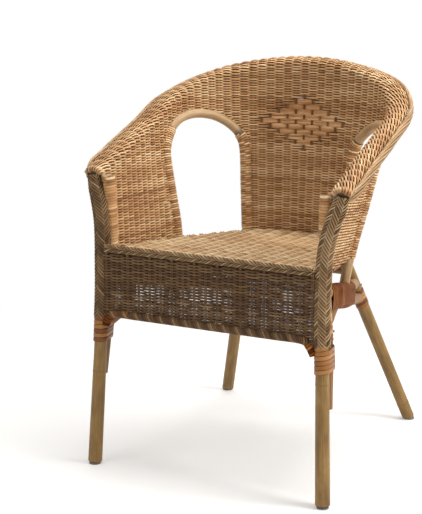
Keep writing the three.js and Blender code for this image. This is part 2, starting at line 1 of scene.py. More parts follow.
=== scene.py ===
import math
import bpy
import numpy as np
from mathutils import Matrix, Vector


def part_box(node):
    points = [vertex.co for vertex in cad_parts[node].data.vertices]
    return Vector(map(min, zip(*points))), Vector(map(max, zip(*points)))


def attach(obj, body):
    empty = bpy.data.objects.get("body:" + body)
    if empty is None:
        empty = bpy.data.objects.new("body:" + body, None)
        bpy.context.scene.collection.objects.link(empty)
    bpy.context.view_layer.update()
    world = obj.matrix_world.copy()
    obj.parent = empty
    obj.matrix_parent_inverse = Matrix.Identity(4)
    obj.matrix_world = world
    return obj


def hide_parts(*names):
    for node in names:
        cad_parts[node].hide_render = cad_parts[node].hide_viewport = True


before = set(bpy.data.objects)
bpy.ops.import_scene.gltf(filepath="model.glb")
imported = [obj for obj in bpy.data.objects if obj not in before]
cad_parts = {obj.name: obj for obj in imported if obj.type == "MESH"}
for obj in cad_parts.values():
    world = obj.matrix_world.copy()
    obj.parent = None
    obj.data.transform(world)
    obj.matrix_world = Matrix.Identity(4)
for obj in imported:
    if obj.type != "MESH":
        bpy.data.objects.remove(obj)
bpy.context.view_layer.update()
print("frame loaded:", len(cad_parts), "nodes")

# Depths below are counted back from the front feet, and lengths are in metres
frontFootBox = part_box("front_right_glide")
footY = (frontFootBox[0].y + frontFootBox[1].y) / 2
randomness = np.random.default_rng(11)


# Helpers for colours and nodes

def hexColour(code):
    parts = [int(code[i:i + 2], 16) / 255 for i in (1, 3, 5)]
    linear = [p / 12.92 if p <= 0.04045 else ((p + 0.055) / 1.055) ** 2.4 for p in parts]
    return (*linear, 1.0)


def addNode(tree, kind, settings=None, inputs=None, stops=None):
    # One word of settings is the node's operation. An input that is a node or a socket is linked, and any
    # other is written on the socket
    node = tree.nodes.new(kind)
    settings = {"operation": settings} if isinstance(settings, str) else settings or {}
    for key, value in settings.items():
        setattr(node, key, value)
    for number, (position, code) in enumerate(stops or []):
        ramp = node.color_ramp.elements
        element = ramp[number] if number < 2 else ramp.new(position)
        element.position, element.color = position, hexColour(code)
    for key, value in (inputs or {}).items():
        named = isinstance(key, str)
        socket = next(s for s in node.inputs if s.enabled and s.name == key) if named else node.inputs[key]
        if isinstance(value, bpy.types.Node):
            value = next(s for s in value.outputs if s.enabled)
        if isinstance(value, bpy.types.NodeSocket):
            tree.links.new(value, socket)
        else:
            socket.default_value = value
    return node


# Curves and the tub's surface

def splinePoint(points, share):
    count = len(points) - 1
    spot = np.clip(np.asarray(share, float), 0, 1) * count
    first = np.minimum(spot.astype(int), count - 1)
    t = (spot - first)[..., None]
    padded = np.vstack([2 * points[0] - points[1], points, 2 * points[-1] - points[-2]])
    before, start, end, after = (padded[first + k] for k in range(4))
    leave, arrive = (end - before) / 2, (after - start) / 2
    cubic = 2 * start - 2 * end + leave + arrive
    square = -3 * start + 3 * end - 2 * leave - arrive
    return cubic * t ** 3 + square * t ** 2 + leave * t + start


def unit(vectors):
    return vectors / np.maximum(np.linalg.norm(vectors, axis=-1, keepdims=True), 1e-9)


def smoothLine(points, count=240):
    return splinePoint(np.array(points, float), np.linspace(0, 1, count))


def travelled(points):
    return np.r_[0, np.cumsum(np.linalg.norm(np.diff(points, axis=0), axis=1))]


def clipped(points, axis, low, high):
    keep = (points[:, axis] >= low) & (points[:, axis] <= high)
    return points[keep]


tub = dict(
    rimHalfWidth=0.260, rimSetback=0.033, rimDepth=0.453, rimTip=0.586, rimRise=0.192,
    rollHalfWidth=0.0248, rollHalfHeight=0.0196, rollEnd=math.radians(22), thickness=0.007,
    seatHalfWidth=0.226, seatSetback=0.016, seatDepth=0.436, seatFront=0.451, seatFall=0.027, seatSag=1.35,
    skirt=0.014, front=0.0422,
    windowTop=0.676, windowSpring=0.596, windowFoot=0.2165, windowFront=0.198, windowBack=0.39,
    rimShares=[[1.009, 0, 0], [1.002, 0.225, 0.206], [0.999, 0.453, 0.397], [0.983, 0.676, 0.617],
               [0.78, 0.862, 0.825], [0.414, 0.966, 0.953], [0, 1, 1]],
    seatShares=[[1, 0.002], [0.938, 0.208], [0.88, 0.414], [0.818, 0.62], [0.678, 0.815],
                [0.389, 0.956], [0, 1]],
)


def bothSides(right):
    return np.vstack([right, (right[:-1] * [-1, 1, 1])[::-1]])


def seatHeight(depth):
    back = np.clip((depth - tub["seatSetback"]) / tub["seatDepth"], 0, 1)
    return tub["seatFront"] - tub["seatFall"] * (1 - (1 - back) ** tub["seatSag"])


rimPoints = bothSides(np.array([[
    tub["rimHalfWidth"] * x,
    footY + tub["rimSetback"] + tub["rimDepth"] * y,
    tub["rimTip"] + tub["rimRise"] * z,
] for x, y, z in tub["rimShares"]]))
seatPoints = bothSides(np.array([[
    tub["seatHalfWidth"] * x,
    footY + tub["seatSetback"] + tub["seatDepth"] * y,
    seatHeight(tub["seatSetback"] + tub["seatDepth"] * y),
] for x, y in tub["seatShares"]]))


def rimTangent(share):
    nudge = 1e-4
    return splinePoint(rimPoints, share + nudge) - splinePoint(rimPoints, share - nudge)


def outwardAt(share):
    tangent = rimTangent(share)
    return unit(np.stack([tangent[..., 1], -tangent[..., 0], 0 * tangent[..., 0]], axis=-1))


def rollPoint(share, angle, extra=0.0):
    angle = np.asarray(angle)[..., None]
    across = outwardAt(share) * np.cos(angle) * (tub["rollHalfWidth"] + extra)
    up = np.array([0, 0, 1]) * np.sin(angle) * (tub["rollHalfHeight"] + extra)
    return splinePoint(rimPoints, share) + across + up


def wallSkin(share, rise):
    foot = splinePoint(seatPoints, share)
    head = rollPoint(share, np.full(np.shape(share), math.pi))
    neck = head + np.array([0, 0, 1]) * ((foot - head)[..., 2:] / 3)
    lean = foot + (head - foot) / 3
    rise = np.asarray(rise)[..., None]
    rest = 1 - rise
    return foot * rest ** 3 + 3 * lean * rest ** 2 * rise + 3 * neck * rest * rise ** 2 + head * rise ** 3


def wallPoint(share, height):
    foot = splinePoint(seatPoints, share)[..., 2]
    rise = (height - foot) / (splinePoint(rimPoints, share)[..., 2] - foot)
    nudge = 1e-3
    across = wallSkin(np.minimum(share + nudge, 1), rise) - wallSkin(np.maximum(share - nudge, 0), rise)
    climb = wallSkin(share, rise + nudge) - wallSkin(share, rise - nudge)
    return wallSkin(share, rise), unit(np.cross(across, climb))


# The roll's arc from its inner side to the border, as angle against length
rollAngles = np.linspace(math.pi, tub["rollEnd"], 120)
rollInside = np.stack([
    (tub["rollHalfWidth"] - tub["thickness"] / 2) * np.cos(rollAngles),
    (tub["rollHalfHeight"] - tub["thickness"] / 2) * np.sin(rollAngles),
], axis=1)
rollLengths = travelled(rollInside)


def rollTop(share):
    tangent = rimTangent(share)
    flat = np.linalg.norm(tangent[..., :2], axis=-1) / np.linalg.norm(tangent, axis=-1)
    return splinePoint(rimPoints, share)[..., 2], flat


def weavePoint(share, level):
    share, level = np.broadcast_arrays(np.asarray(share, float), np.asarray(level, float))
    rimHeight, flat = rollTop(share)
    wall, wallOut = wallPoint(share, np.minimum(level, rimHeight))
    wall = wall + wallOut * tub["thickness"] / 2
    angle = np.interp((level - rimHeight) / flat, rollLengths, rollAngles)
    roll = rollPoint(share, angle, -tub["thickness"] / 2)
    across = outwardAt(share) * np.cos(angle)[..., None] / tub["rollHalfWidth"]
    rollOut = -unit(across + np.array([0, 0, 1]) * np.sin(angle)[..., None] / tub["rollHalfHeight"])
    onWall = (level <= rimHeight)[..., None]
    return np.where(onWall, wall, roll), np.where(onWall, wallOut, rollOut)


def windowLean(height):
    climb = (tub["windowSpring"] - height) / (tub["windowSpring"] - tub["seatFront"])
    return tub["windowFront"] + (tub["windowFoot"] - tub["windowFront"]) * np.clip(climb, 0, 1)


def outsideWindow(share, height, clearance=0.0):
    # Above zero outside the window's pole line, in shares of the tub's length
    share = np.minimum(share, 1 - share)
    front = windowLean(height)
    middle, half = (front + tub["windowBack"]) / 2, (tub["windowBack"] - front) / 2
    tall = tub["windowTop"] - tub["windowSpring"] + clearance * tubLength
    arch = np.hypot((share - middle) / (half + clearance), np.maximum(height - tub["windowSpring"], 0) / tall)
    return (arch - 1) * (half + clearance)


tubLength = travelled(smoothLine(rimPoints))[-1]


# Geometry Nodes trees

strandSizes = {
    "Strand Width": ("NodeSocketFloat", 0.0026),
    "Strand Thickness": ("NodeSocketFloat", 0.0026),
    "Sides": ("NodeSocketInt", 6),
    "Material": ("NodeSocketMaterial", None),
}


def newTree(name, sizes):
    tree = bpy.data.node_groups.new(name, "GeometryNodeTree")
    tree.interface.new_socket("Geometry", in_out="INPUT", socket_type="NodeSocketGeometry")
    tree.interface.new_socket("Geometry", in_out="OUTPUT", socket_type="NodeSocketGeometry")
    for label, (kind, value) in {**sizes, **strandSizes}.items():
        socket = tree.interface.new_socket(label, in_out="INPUT", socket_type=kind)
        if value is not None:
            socket.default_value = value
    return tree, addNode(tree, "NodeGroupInput").outputs


def sweepStrand(tree, curve, given):
    # Carries an oval section along each curve, with its thin way along the outward direction
    outward = addNode(tree, "GeometryNodeInputNamedAttribute", {"data_type": "FLOAT_VECTOR"},
                      {"Name": "outward"})
    turned = addNode(tree, "GeometryNodeSetCurveNormal", {"mode": "FREE"},
                     {"Curve": curve, "Normal": outward})
    run = addNode(tree, "GeometryNodeSplineParameter")
    measured = addNode(tree, "GeometryNodeStoreNamedAttribute", {"data_type": "FLOAT", "domain": "POINT"},
                       {"Geometry": turned, "Name": "along", "Value": run.outputs["Length"]})
    circle = addNode(tree, "GeometryNodeCurvePrimitiveCircle",
                     inputs={"Resolution": given["Sides"], "Radius": 0.5})
    place = addNode(tree, "GeometryNodeInputPosition")
    ringed = addNode(tree, "GeometryNodeStoreNamedAttribute",
                     {"data_type": "FLOAT_VECTOR", "domain": "POINT"},
                     {"Geometry": circle, "Name": "ring", "Value": place})
    section = addNode(tree, "ShaderNodeCombineXYZ",
                      inputs={"X": given["Strand Thickness"], "Y": given["Strand Width"], "Z": 1.0})
    profile = addNode(tree, "GeometryNodeTransform", inputs={"Geometry": ringed, "Scale": section})
    girth = addNode(tree, "GeometryNodeInputNamedAttribute", {"data_type": "FLOAT"}, {"Name": "girth"})
    swept = addNode(tree, "GeometryNodeCurveToMesh",
                    inputs={"Curve": measured, "Profile Curve": profile, "Scale": girth, "Fill Caps": True})
    smooth = addNode(tree, "GeometryNodeSetShadeSmooth", inputs={"Geometry": swept})
    real = addNode(tree, "GeometryNodeRealizeInstances", inputs={"Geometry": smooth})
    finished = addNode(tree, "GeometryNodeSetMaterial",
                       inputs={"Geometry": real, "Material": given["Material"]})
    addNode(tree, "NodeGroupOutput", inputs={"Geometry": finished})


def makeStrandTree():
    # Strands along drawn lines, pushed in and out of the surface where they pass over and under
    tree, given = newTree("wovenStrands", {"Weave Depth": ("NodeSocketFloat", 0.0)})
    curve = addNode(tree, "GeometryNodeMeshToCurve", inputs={"Mesh": given["Geometry"]})
    wave = addNode(tree, "GeometryNodeInputNamedAttribute", {"data_type": "FLOAT"}, {"Name": "wave"})
    outward = addNode(tree, "GeometryNodeInputNamedAttribute", {"data_type": "FLOAT_VECTOR"},
                      {"Name": "outward"})
    lift = addNode(tree, "ShaderNodeMath", "MULTIPLY", {0: wave, 1: given["Weave Depth"]})
    offset = addNode(tree, "ShaderNodeVectorMath", "SCALE", {0: outward, "Scale": lift})
    woven = addNode(tree, "GeometryNodeSetPosition", inputs={"Geometry": curve, "Offset": offset})
    sweepStrand(tree, woven, given)
    return tree


def makeWindingTree():
    # One strand wound round a pole's path, with its own shade for each turn
    tree, given = newTree("woundCane", {
        "Pole Radius": ("NodeSocketFloat", 0.012), "Pitch": ("NodeSocketFloat", 0.003),
        "Steps": ("NodeSocketFloat", 14.0), "Seed": ("NodeSocketInt", 3)})
    curve = addNode(tree, "GeometryNodeMeshToCurve", inputs={"Mesh": given["Geometry"]})
    step = addNode(tree, "ShaderNodeMath", "DIVIDE", {0: given["Pitch"], 1: given["Steps"]})
    fine = addNode(tree, "GeometryNodeResampleCurve", {"mode": "LENGTH"}, {"Curve": curve, "Length": step})
    run = addNode(tree, "GeometryNodeSplineParameter")
    turn = addNode(tree, "ShaderNodeMath", "DIVIDE", {0: run.outputs["Length"], 1: given["Pitch"]})
    angle = addNode(tree, "ShaderNodeMath", "MULTIPLY", {0: turn, 1: 2 * math.pi})
    cosine = addNode(tree, "ShaderNodeMath", "COSINE", {0: angle})
    sine = addNode(tree, "ShaderNodeMath", "SINE", {0: angle})
    tangent = addNode(tree, "GeometryNodeInputTangent")
    normal = addNode(tree, "GeometryNodeInputNormal")
    side = addNode(tree, "ShaderNodeVectorMath", "CROSS_PRODUCT", {0: tangent, 1: normal})
    first = addNode(tree, "ShaderNodeVectorMath", "SCALE", {0: normal, "Scale": cosine})
    second = addNode(tree, "ShaderNodeVectorMath", "SCALE", {0: side, "Scale": sine})
    away = addNode(tree, "ShaderNodeVectorMath", "ADD", {0: first, 1: second})
    aimed = addNode(tree, "GeometryNodeStoreNamedAttribute", {"data_type": "FLOAT_VECTOR", "domain": "POINT"},
                    {"Geometry": fine, "Name": "outward", "Value": away})
    whole = addNode(tree, "FunctionNodeFloatToInt", {"rounding_mode": "FLOOR"}, {0: turn})
    shade = addNode(tree, "FunctionNodeRandomValue", {"data_type": "FLOAT"},
                    {"ID": whole, "Seed": given["Seed"]})
    toned = addNode(tree, "GeometryNodeStoreNamedAttribute", {"data_type": "FLOAT", "domain": "POINT"},
                    {"Geometry": aimed, "Name": "tone", "Value": shade})
    outward = addNode(tree, "GeometryNodeInputNamedAttribute", {"data_type": "FLOAT_VECTOR"},
                      {"Name": "outward"})
    reach = addNode(tree, "ShaderNodeVectorMath", "SCALE", {0: outward, "Scale": given["Pole Radius"]})
    wound = addNode(tree, "GeometryNodeSetPosition", inputs={"Geometry": toned, "Offset": reach})
    sweepStrand(tree, wound, given)
    return tree


strandTree = makeStrandTree()
windingTree = makeWindingTree()


def makeLine(points, outward, wave=0.0, tone=0.5, girth=1.0, mark=0.0):
    count = len(points)
    points = np.asarray(points, float)
    outward = np.broadcast_to(np.asarray(outward, float), (count, 3))
    tangent = unit(np.gradient(points, axis=0))
    outward = unit(outward - tangent * (outward * tangent).sum(1, keepdims=True))
    spread = {key: np.broadcast_to(np.asarray(value, float), (count,))
              for key, value in dict(wave=wave, tone=tone, girth=girth, mark=mark).items()}
    return dict(points=points, outward=outward, **spread)


def drawnTone(middle, spread, low=0.0, high=1.0):
    return np.clip(randomness.normal(middle, spread), low, high)


def strandInputs(finish, width, thickness, depth=0.0, sides=6, winding=None):
    return {"Strand Width": width, "Strand Thickness": thickness, "Weave Depth": depth, "Sides": sides,
            "Material": finish, **(winding or {})}


def linesMesh(name, lines):
    mesh = bpy.data.meshes.new(name)
    points = np.vstack([line["points"] for line in lines])
    edges, start = [], 0
    for line in lines:
        count = len(line["points"])
        first = np.arange(start, start + count - 1)
        edges.append(np.stack([first, first + 1], axis=1))
        start += count
    edges = np.vstack(edges)
    mesh.vertices.add(len(points))
    mesh.vertices.foreach_set("co", points.ravel())
    mesh.edges.add(len(edges))
    mesh.edges.foreach_set("vertices", edges.ravel())
    outward = mesh.attributes.new("outward", "FLOAT_VECTOR", "POINT")
    outward.data.foreach_set("vector", np.vstack([line["outward"] for line in lines]).ravel())
    for key in ("wave", "tone", "girth", "mark"):
        values = mesh.attributes.new(key, "FLOAT", "POINT")
        values.data.foreach_set("value", np.concatenate([line[key] for line in lines]))
    mesh.update()
    return mesh


sharpFrom = math.radians(62)


def grow(name, lines, tree, sizes, nodes):
    piece = bpy.data.objects.new(name, linesMesh(name, lines))
    bpy.context.scene.collection.objects.link(piece)
    modifier = piece.modifiers.new("grow", "NODES")
    modifier.node_group = tree
    for item in tree.interface.items_tree:
        if item.in_out == "INPUT" and item.name in sizes:
            modifier[item.identifier] = sizes[item.name]
    graph = bpy.context.evaluated_depsgraph_get()
    shape = bpy.data.meshes.new_from_object(
        piece.evaluated_get(graph), preserve_all_data_layers=True, depsgraph=graph)
    piece.modifiers.clear()
    piece.data = shape
    shape.name = name
    for spare in ("outward", "girth"):
        if spare in shape.attributes:
            shape.attributes.remove(shape.attributes[spare])
    shape.set_sharp_from_angle(angle=sharpFrom)
    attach(piece, "root")
    if nodes:
        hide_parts(*nodes)
    print(name, len(shape.polygons), "faces")
    return piece


# Materials

def newMaterial(name):
    material = bpy.data.materials.new(name)
    material.use_nodes = True
    material.node_tree.nodes.clear()
    return material, material.node_tree


def addSurface(tree, inputs):
    shader = addNode(tree, "ShaderNodeBsdfPrincipled", inputs=inputs)
    addNode(tree, "ShaderNodeOutputMaterial", inputs={"Surface": shader})


# Each strand's own shade drifts along it every 45 mm or so (22 in a metre) and over the chair every
# 110 mm (9 in a metre). Real fibres are some 0.3 mm across, drawn 1.1 mm (900 in a metre) so that they show
strandGrain = dict(drift=22.0, driftShare=0.45, patches=9.0, patchShare=0.3, fibres=900.0, fibreShare=0.18,
                   strandsApart=173.0, sunkFrom=-0.36, sunkTo=0.06, bump=0.25, bumpDepth=0.0003)


def strandMaterial(name, stops, roughness, sunkStainAndShade, grooveStainAndShade, rounded=0.2, shine=0.22):
    # Painted shade, with some real stain and dust, darkens a strand where it passes under others and along
    # its sides, between neighbours
    look = strandGrain
    material, tree = newMaterial(name)
    along, tone, wave = (addNode(tree, "ShaderNodeAttribute", {"attribute_name": key}).outputs["Fac"]
                         for key in ("along", "tone", "wave"))
    ring = addNode(tree, "ShaderNodeAttribute", {"attribute_name": "ring"}).outputs["Vector"]
    place = addNode(tree, "ShaderNodeTexCoord").outputs["Object"]
    run = addNode(tree, "ShaderNodeMath", "MULTIPLY", {0: along, 1: look["drift"]})
    own = addNode(tree, "ShaderNodeMath", "MULTIPLY", {0: tone, 1: look["strandsApart"]})
    driftPlace = addNode(tree, "ShaderNodeCombineXYZ", inputs={"X": run, "Y": own})
    drift = addNode(tree, "ShaderNodeTexNoise",
                    inputs={"Vector": driftPlace, "Scale": 1.0, "Detail": 3.0, "Roughness": 0.6})
    patches = addNode(tree, "ShaderNodeTexNoise",
                      inputs={"Vector": place, "Scale": look["patches"], "Detail": 2.0})
    driftShare, patchShare = (
        addNode(tree, "ShaderNodeMapRange", inputs={"Value": noise, "To Min": -share, "To Max": share})
        for noise, share in ((drift, look["driftShare"]), (patches, look["patchShare"])))
    both = addNode(tree, "ShaderNodeMath", "ADD", {0: driftShare, 1: patchShare})
    shade = addNode(tree, "ShaderNodeMath", {"operation": "ADD", "use_clamp": True}, {0: tone, 1: both})
    colour = addNode(tree, "ShaderNodeValToRGB", inputs={"Fac": shade}, stops=stops)
    split = addNode(tree, "ShaderNodeSeparateXYZ", inputs={"Vector": ring})
    lifted = addNode(tree, "ShaderNodeMath", "MULTIPLY", {0: split.outputs["X"], 1: wave})
    # Darker where the strand passes under its neighbours: painted shade, with some stain
    over = addNode(tree, "ShaderNodeMapRange", {"interpolation_type": "SMOOTHSTEP"},
                   {"Value": lifted, "From Min": look["sunkFrom"], "From Max": look["sunkTo"],
                    "To Min": 1 - sunkStainAndShade, "To Max": 1.0})
    edge = addNode(tree, "ShaderNodeMath", "ABSOLUTE", {0: split.outputs["Y"]})
    # Darker along the strand's sides, between neighbours: painted shade, with some stain
    crease = addNode(tree, "ShaderNodeMapRange", {"interpolation_type": "SMOOTHSTEP"},
                     {"Value": edge, "From Min": rounded, "From Max": 0.5, "To Min": 1.0,
                      "To Max": 1 - grooveStainAndShade})
    fibres = addNode(tree, "ShaderNodeTexNoise",
                     inputs={"Vector": place, "Scale": look["fibres"], "Detail": 2.0})
    grain = addNode(tree, "ShaderNodeMapRange",
                    inputs={"Value": fibres, "To Min": 1 - look["fibreShare"],
                            "To Max": 1 + look["fibreShare"]})
    stainAndShade = addNode(tree, "ShaderNodeMath", "MULTIPLY", {0: over, 1: crease})
    darkness = addNode(tree, "ShaderNodeMath", "MULTIPLY", {0: stainAndShade, 1: grain})
    shaded = addNode(tree, "ShaderNodeVectorMath", "SCALE", {0: colour, "Scale": darkness})
    bump = addNode(tree, "ShaderNodeBump",
                   inputs={"Strength": look["bump"], "Distance": look["bumpDepth"], "Height": fibres})
    addSurface(tree, {"Base Color": shaded, "Normal": bump, "Roughness": roughness,
                      "Specular IOR Level": shine})
    return material


# Streaks 2 to 4 mm wide that run some 100 mm lengthwise, blotches and small dark specks; the sizes are
# noise scales on a pole turned into a cylinder one unit across
poleGrain = dict(lengthwise=7.0, around=9.0, polesApart=60.0, streaks=1.6, streakShare=0.55, blotchRun=2.4,
                 blotches=1.3, blotchShare=0.45, specks=5.5, speckFrom=0.7, speckTo=0.78, speckShade=0.62,
                 markShade=-0.42, roughSpread=0.1, shine=0.35, bump=0.3, bumpDepth=0.0006)


def poleMaterial(name, stops, roughness):
    # Mark darkens nodes, paints shade on the stretches hidden under windings, and below zero shows the pale
    # core at a cut end
    look = poleGrain
    material, tree = newMaterial(name)
    along, tone, mark = (addNode(tree, "ShaderNodeAttribute", {"attribute_name": key}).outputs["Fac"]
                         for key in ("along", "tone", "mark"))
    ring = addNode(tree, "ShaderNodeAttribute", {"attribute_name": "ring"}).outputs["Vector"]
    own = addNode(tree, "ShaderNodeMath", "MULTIPLY", {0: tone, 1: look["polesApart"]})
    run = addNode(tree, "ShaderNodeMath", "MULTIPLY_ADD", {0: along, 1: look["lengthwise"], 2: own})
    length = addNode(tree, "ShaderNodeCombineXYZ", inputs={"Z": run})
    streakPlace = addNode(tree, "ShaderNodeVectorMath", "MULTIPLY_ADD",
                          {0: ring, 1: (look["around"], look["around"], 0.0), 2: length})
    streaks = addNode(tree, "ShaderNodeTexNoise",
                      inputs={"Vector": streakPlace, "Scale": look["streaks"], "Detail": 4.0,
                              "Roughness": 0.65})
    blotchPlace = addNode(tree, "ShaderNodeVectorMath", "MULTIPLY_ADD",
                          {0: length, 1: (0.0, 0.0, look["blotchRun"]), 2: ring})
    blotches = addNode(tree, "ShaderNodeTexNoise",
                       inputs={"Vector": blotchPlace, "Scale": look["blotches"], "Detail": 2.0})
    specks = addNode(tree, "ShaderNodeTexNoise",
                     inputs={"Vector": streakPlace, "Scale": look["specks"], "Detail": 1.0})
    part = addNode(tree, "ShaderNodeMath", "MULTIPLY", {0: blotches, 1: look["blotchShare"]})
    shade = addNode(tree, "ShaderNodeMath", "MULTIPLY_ADD", {0: streaks, 1: look["streakShare"], 2: part})
    colour = addNode(tree, "ShaderNodeValToRGB", inputs={"Fac": shade}, stops=stops)
    speckShade = addNode(tree, "ShaderNodeMapRange",
                         inputs={"Value": specks, "From Min": look["speckFrom"], "From Max": look["speckTo"],
                                 "To Min": 1.0, "To Max": look["speckShade"]})
    marked = addNode(tree, "ShaderNodeMath", "MULTIPLY_ADD", {0: mark, 1: look["markShade"], 2: 1.0})
    darkness = addNode(tree, "ShaderNodeMath", "MULTIPLY", {0: marked, 1: speckShade})
    shaded = addNode(tree, "ShaderNodeVectorMath", "SCALE", {0: colour, "Scale": darkness})
    bump = addNode(tree, "ShaderNodeBump",
                   inputs={"Strength": look["bump"], "Distance": look["bumpDepth"], "Height": streaks})
    rough = addNode(tree, "ShaderNodeMapRange",
                    inputs={"Value": blotches, "To Min": roughness - look["roughSpread"],
                            "To Max": roughness + look["roughSpread"]})
    addSurface(tree, {"Base Color": shaded, "Normal": bump, "Roughness": rough,
                      "Specular IOR Level": look["shine"]})
    return material


def grainMaterial(name, code, roughness, metallic, grainSize, grainShare):
    material, tree = newMaterial(name)
    place = addNode(tree, "ShaderNodeTexCoord").outputs["Object"]
    grain = addNode(tree, "ShaderNodeTexNoise",
                    inputs={"Vector": place, "Scale": 1 / grainSize, "Detail": 3.0})
    spread = addNode(tree, "ShaderNodeMapRange",
                     inputs={"Value": grain, "To Min": 1 - grainShare / 2, "To Max": 1 + grainShare / 2})
    colour = addNode(tree, "ShaderNodeVectorMath", "SCALE", {0: hexColour(code)[:3], "Scale": spread})
    bump = addNode(tree, "ShaderNodeBump", inputs={"Strength": 0.2, "Distance": 0.0002, "Height": grain})
    addSurface(tree, {"Base Color": colour, "Normal": bump, "Roughness": roughness, "Metallic": metallic})
    return material


# Round rattan core under a thin lacquer: honey strands, tan where light, with brown stain and painted shade
# between them
weaveFinish = strandMaterial("lacqueredRattanCore", [
    (0.0, "#82542e"), (0.3, "#b78556"), (0.55, "#d7a977"), (0.8, "#ebc696"), (1.0, "#fce3b8")],
    roughness=0.5, sunkStainAndShade=0.85, grooveStainAndShade=0.6)
# The same core on the seat, duller and more olive where it is sat on
seatFinish = strandMaterial("wornSeatCore", [
    (0.0, "#7a5430"), (0.3, "#ac845a"), (0.55, "#caa87c"), (0.8, "#dcc49a"), (1.0, "#ece0bc")],
    roughness=0.5, sunkStainAndShade=0.85, grooveStainAndShade=0.6)
# The same core on the apron, unlacquered, with painted shade making it dark and grey on its front face
shadedApronFinish = strandMaterial("shadedApronCore", [
    (0.0, "#432e1c"), (0.4, "#63472d"), (0.75, "#7c5e3e"), (1.0, "#967753")],
    roughness=0.6, sunkStainAndShade=0.8, grooveStainAndShade=0.6)
# Row ends turned round the poles: the palest and smoothest strands of the chair
wrapFinish = strandMaterial("lacqueredCoreWrap", [
    (0.0, "#96683f"), (0.4, "#c3915f"), (0.75, "#dcb07d"), (1.0, "#efcd9e")],
    roughness=0.45, sunkStainAndShade=0.0, grooveStainAndShade=0.58)
# Upright stakes: the same core, painted darker with the shade they stand in, seen only as dark lines between
# the rows
shadedStakeFinish = strandMaterial("shadedRattanStake", [
    (0.0, "#6a4829"), (0.5, "#946b42"), (1.0, "#b48c60")],
    roughness=0.55, sunkStainAndShade=0.0, grooveStainAndShade=0.5)
# Plaited round core on legs and seat edge: greyer brown, partly darkened as painted shade, satin, with
# painted shade and dirt in every crossing
braidFinish = strandMaterial("plaitedCane", [
    (0.0, "#5c442c"), (0.3, "#806241"), (0.6, "#9e7d57"), (1.0, "#ba9e78")],
    roughness=0.5, sunkStainAndShade=0.8, grooveStainAndShade=0.55)
# The coil of core laid along the rim's outer edge: smooth honey strands that lie close together
borderFinish = strandMaterial("coiledEdgeCore", [
    (0.0, "#906e49"), (0.4, "#af8b63"), (0.75, "#c5a37a"), (1.0, "#d8bc94")],
    roughness=0.48, sunkStainAndShade=0.0, grooveStainAndShade=0.4)
# Flat binding cane with its glossy outer skin on: orange brown with dark lines of painted shade and stain
# between the turns
caneFinish = strandMaterial("bindingCane", [
    (0.0, "#6c3d1c"), (0.35, "#8f592b"), (0.7, "#a8743f"), (1.0, "#c69762")],
    roughness=0.34, sunkStainAndShade=0.0, grooveStainAndShade=0.85, rounded=0.36)
# The same cane under the seat, painted redder and darker for the shade it lies in, with more painted shade
# and stain between its turns
shadedCaneFinish = strandMaterial("shadedBindingCane", [
    (0.0, "#4f260c"), (0.4, "#733d14"), (0.75, "#905621"), (1.0, "#ac7238")],
    roughness=0.5, sunkStainAndShade=0.0, grooveStainAndShade=0.95, rounded=0.22, shine=0.06)
# Peeled rattan pole, satin lacquer: straw and olive brown streaks
poleFinish = poleMaterial("peeledRattanPole", [
    (0.25, "#5f4621"), (0.42, "#7a5c2f"), (0.56, "#906f3d"), (0.7, "#a5864e"), (0.85, "#886633")],
    roughness=0.42)
# Bent poles of the windows under the same lacquer: warmer honey
hoopFinish = poleMaterial("honeyRattanPole", [
    (0.25, "#84633f"), (0.45, "#a6845c"), (0.6, "#bd9e75"), (0.85, "#ab8255")],
    roughness=0.42)
# Poles of the frame with their skin on: plain brown
frameFinish = poleMaterial("brownRattanPole", [
    (0.25, "#5e4024"), (0.5, "#8c6438"), (0.8, "#ab8049")],
    roughness=0.45)
# Moulded polyethylene of the foot glides: dull mid grey
glideFinish = grainMaterial("mouldedPolyethylene", "#74777a", roughness=0.48, metallic=0.0,
                            grainSize=0.002, grainShare=0.25)
# Blued steel of the nail heads: near black with a small glint
nailFinish = grainMaterial("bluedSteelNail", "#2e2a28", roughness=0.38, metallic=0.85,
                           grainSize=0.001, grainShare=0.4)


# Woven rows and stakes of the tub

rowsLook = dict(pitch=0.0027, width=0.0039, thickness=0.0028, depth=0.0024, perStake=6,
                ripples=((37, 1), (91, 0.6), (210, 0.4)), wobble=0.00014, tone=0.47, toneSpread=0.115,
                toneRange=(0.05, 0.98), girths=(0.9, 1.06), endMargin=0.004, endWave=1.5, tipWave=0.4,
                hemWeight=5, overArch=0.0075, archLow=0.01, archRise=0.03)
stakesLook = dict(spacings=64, wallFirst=2, width=0.0026, apart=0.0015, step=0.008, tone=0.45,
                  toneSpread=0.15, windowGap=0.022, windowBehind=0.006, windowBelow=0.01, windowLevel=0.5,
                  overArch=0.0078, rowsOverArch=0.008, aboveHem=0.001, belowRim=0.006)
diamondLook = dict(reach=4, level=0.659, groupHeight=0.0106, over=1.25, under=-0.5, lens=0.6, bunch=0.12,
                   slant=0.0003, girth=0.04)
hookLook = dict(turns=(25, 50, 75, 90), ahead=0.0025, down=0.0085, steepest=-0.4, taper=0.25)
tubBands = {"tubRowsLow": (0, 0.545), "tubRowsMiddle": (0.545, 0.645), "tubRowsHigh": (0.645, 0.745),
            "tubRowsTop": (0.745, 9)}

allStakes = np.arange(1, stakesLook["spacings"]) / stakesLook["spacings"]
wallStakes = allStakes[stakesLook["wallFirst"] - 1:1 - stakesLook["wallFirst"]]
shareGrid = np.linspace(0, 1, stakesLook["spacings"] * rowsLook["perStake"] + 1)


def rippled(places, phases, ripples):
    return sum(np.sin(places * pace + phase) * size for (pace, size), phase in zip(ripples, phases))


def swing(places, knots, values):
    # Eases from one knot's value to the next
    spot = np.clip(np.searchsorted(knots, places, side="right") - 1, 0, len(knots) - 2)
    t = (places - knots[spot]) / (knots[spot + 1] - knots[spot])
    blend = (1 - np.cos(np.pi * t)) / 2
    return values[spot] * (1 - blend) + values[spot + 1] * blend


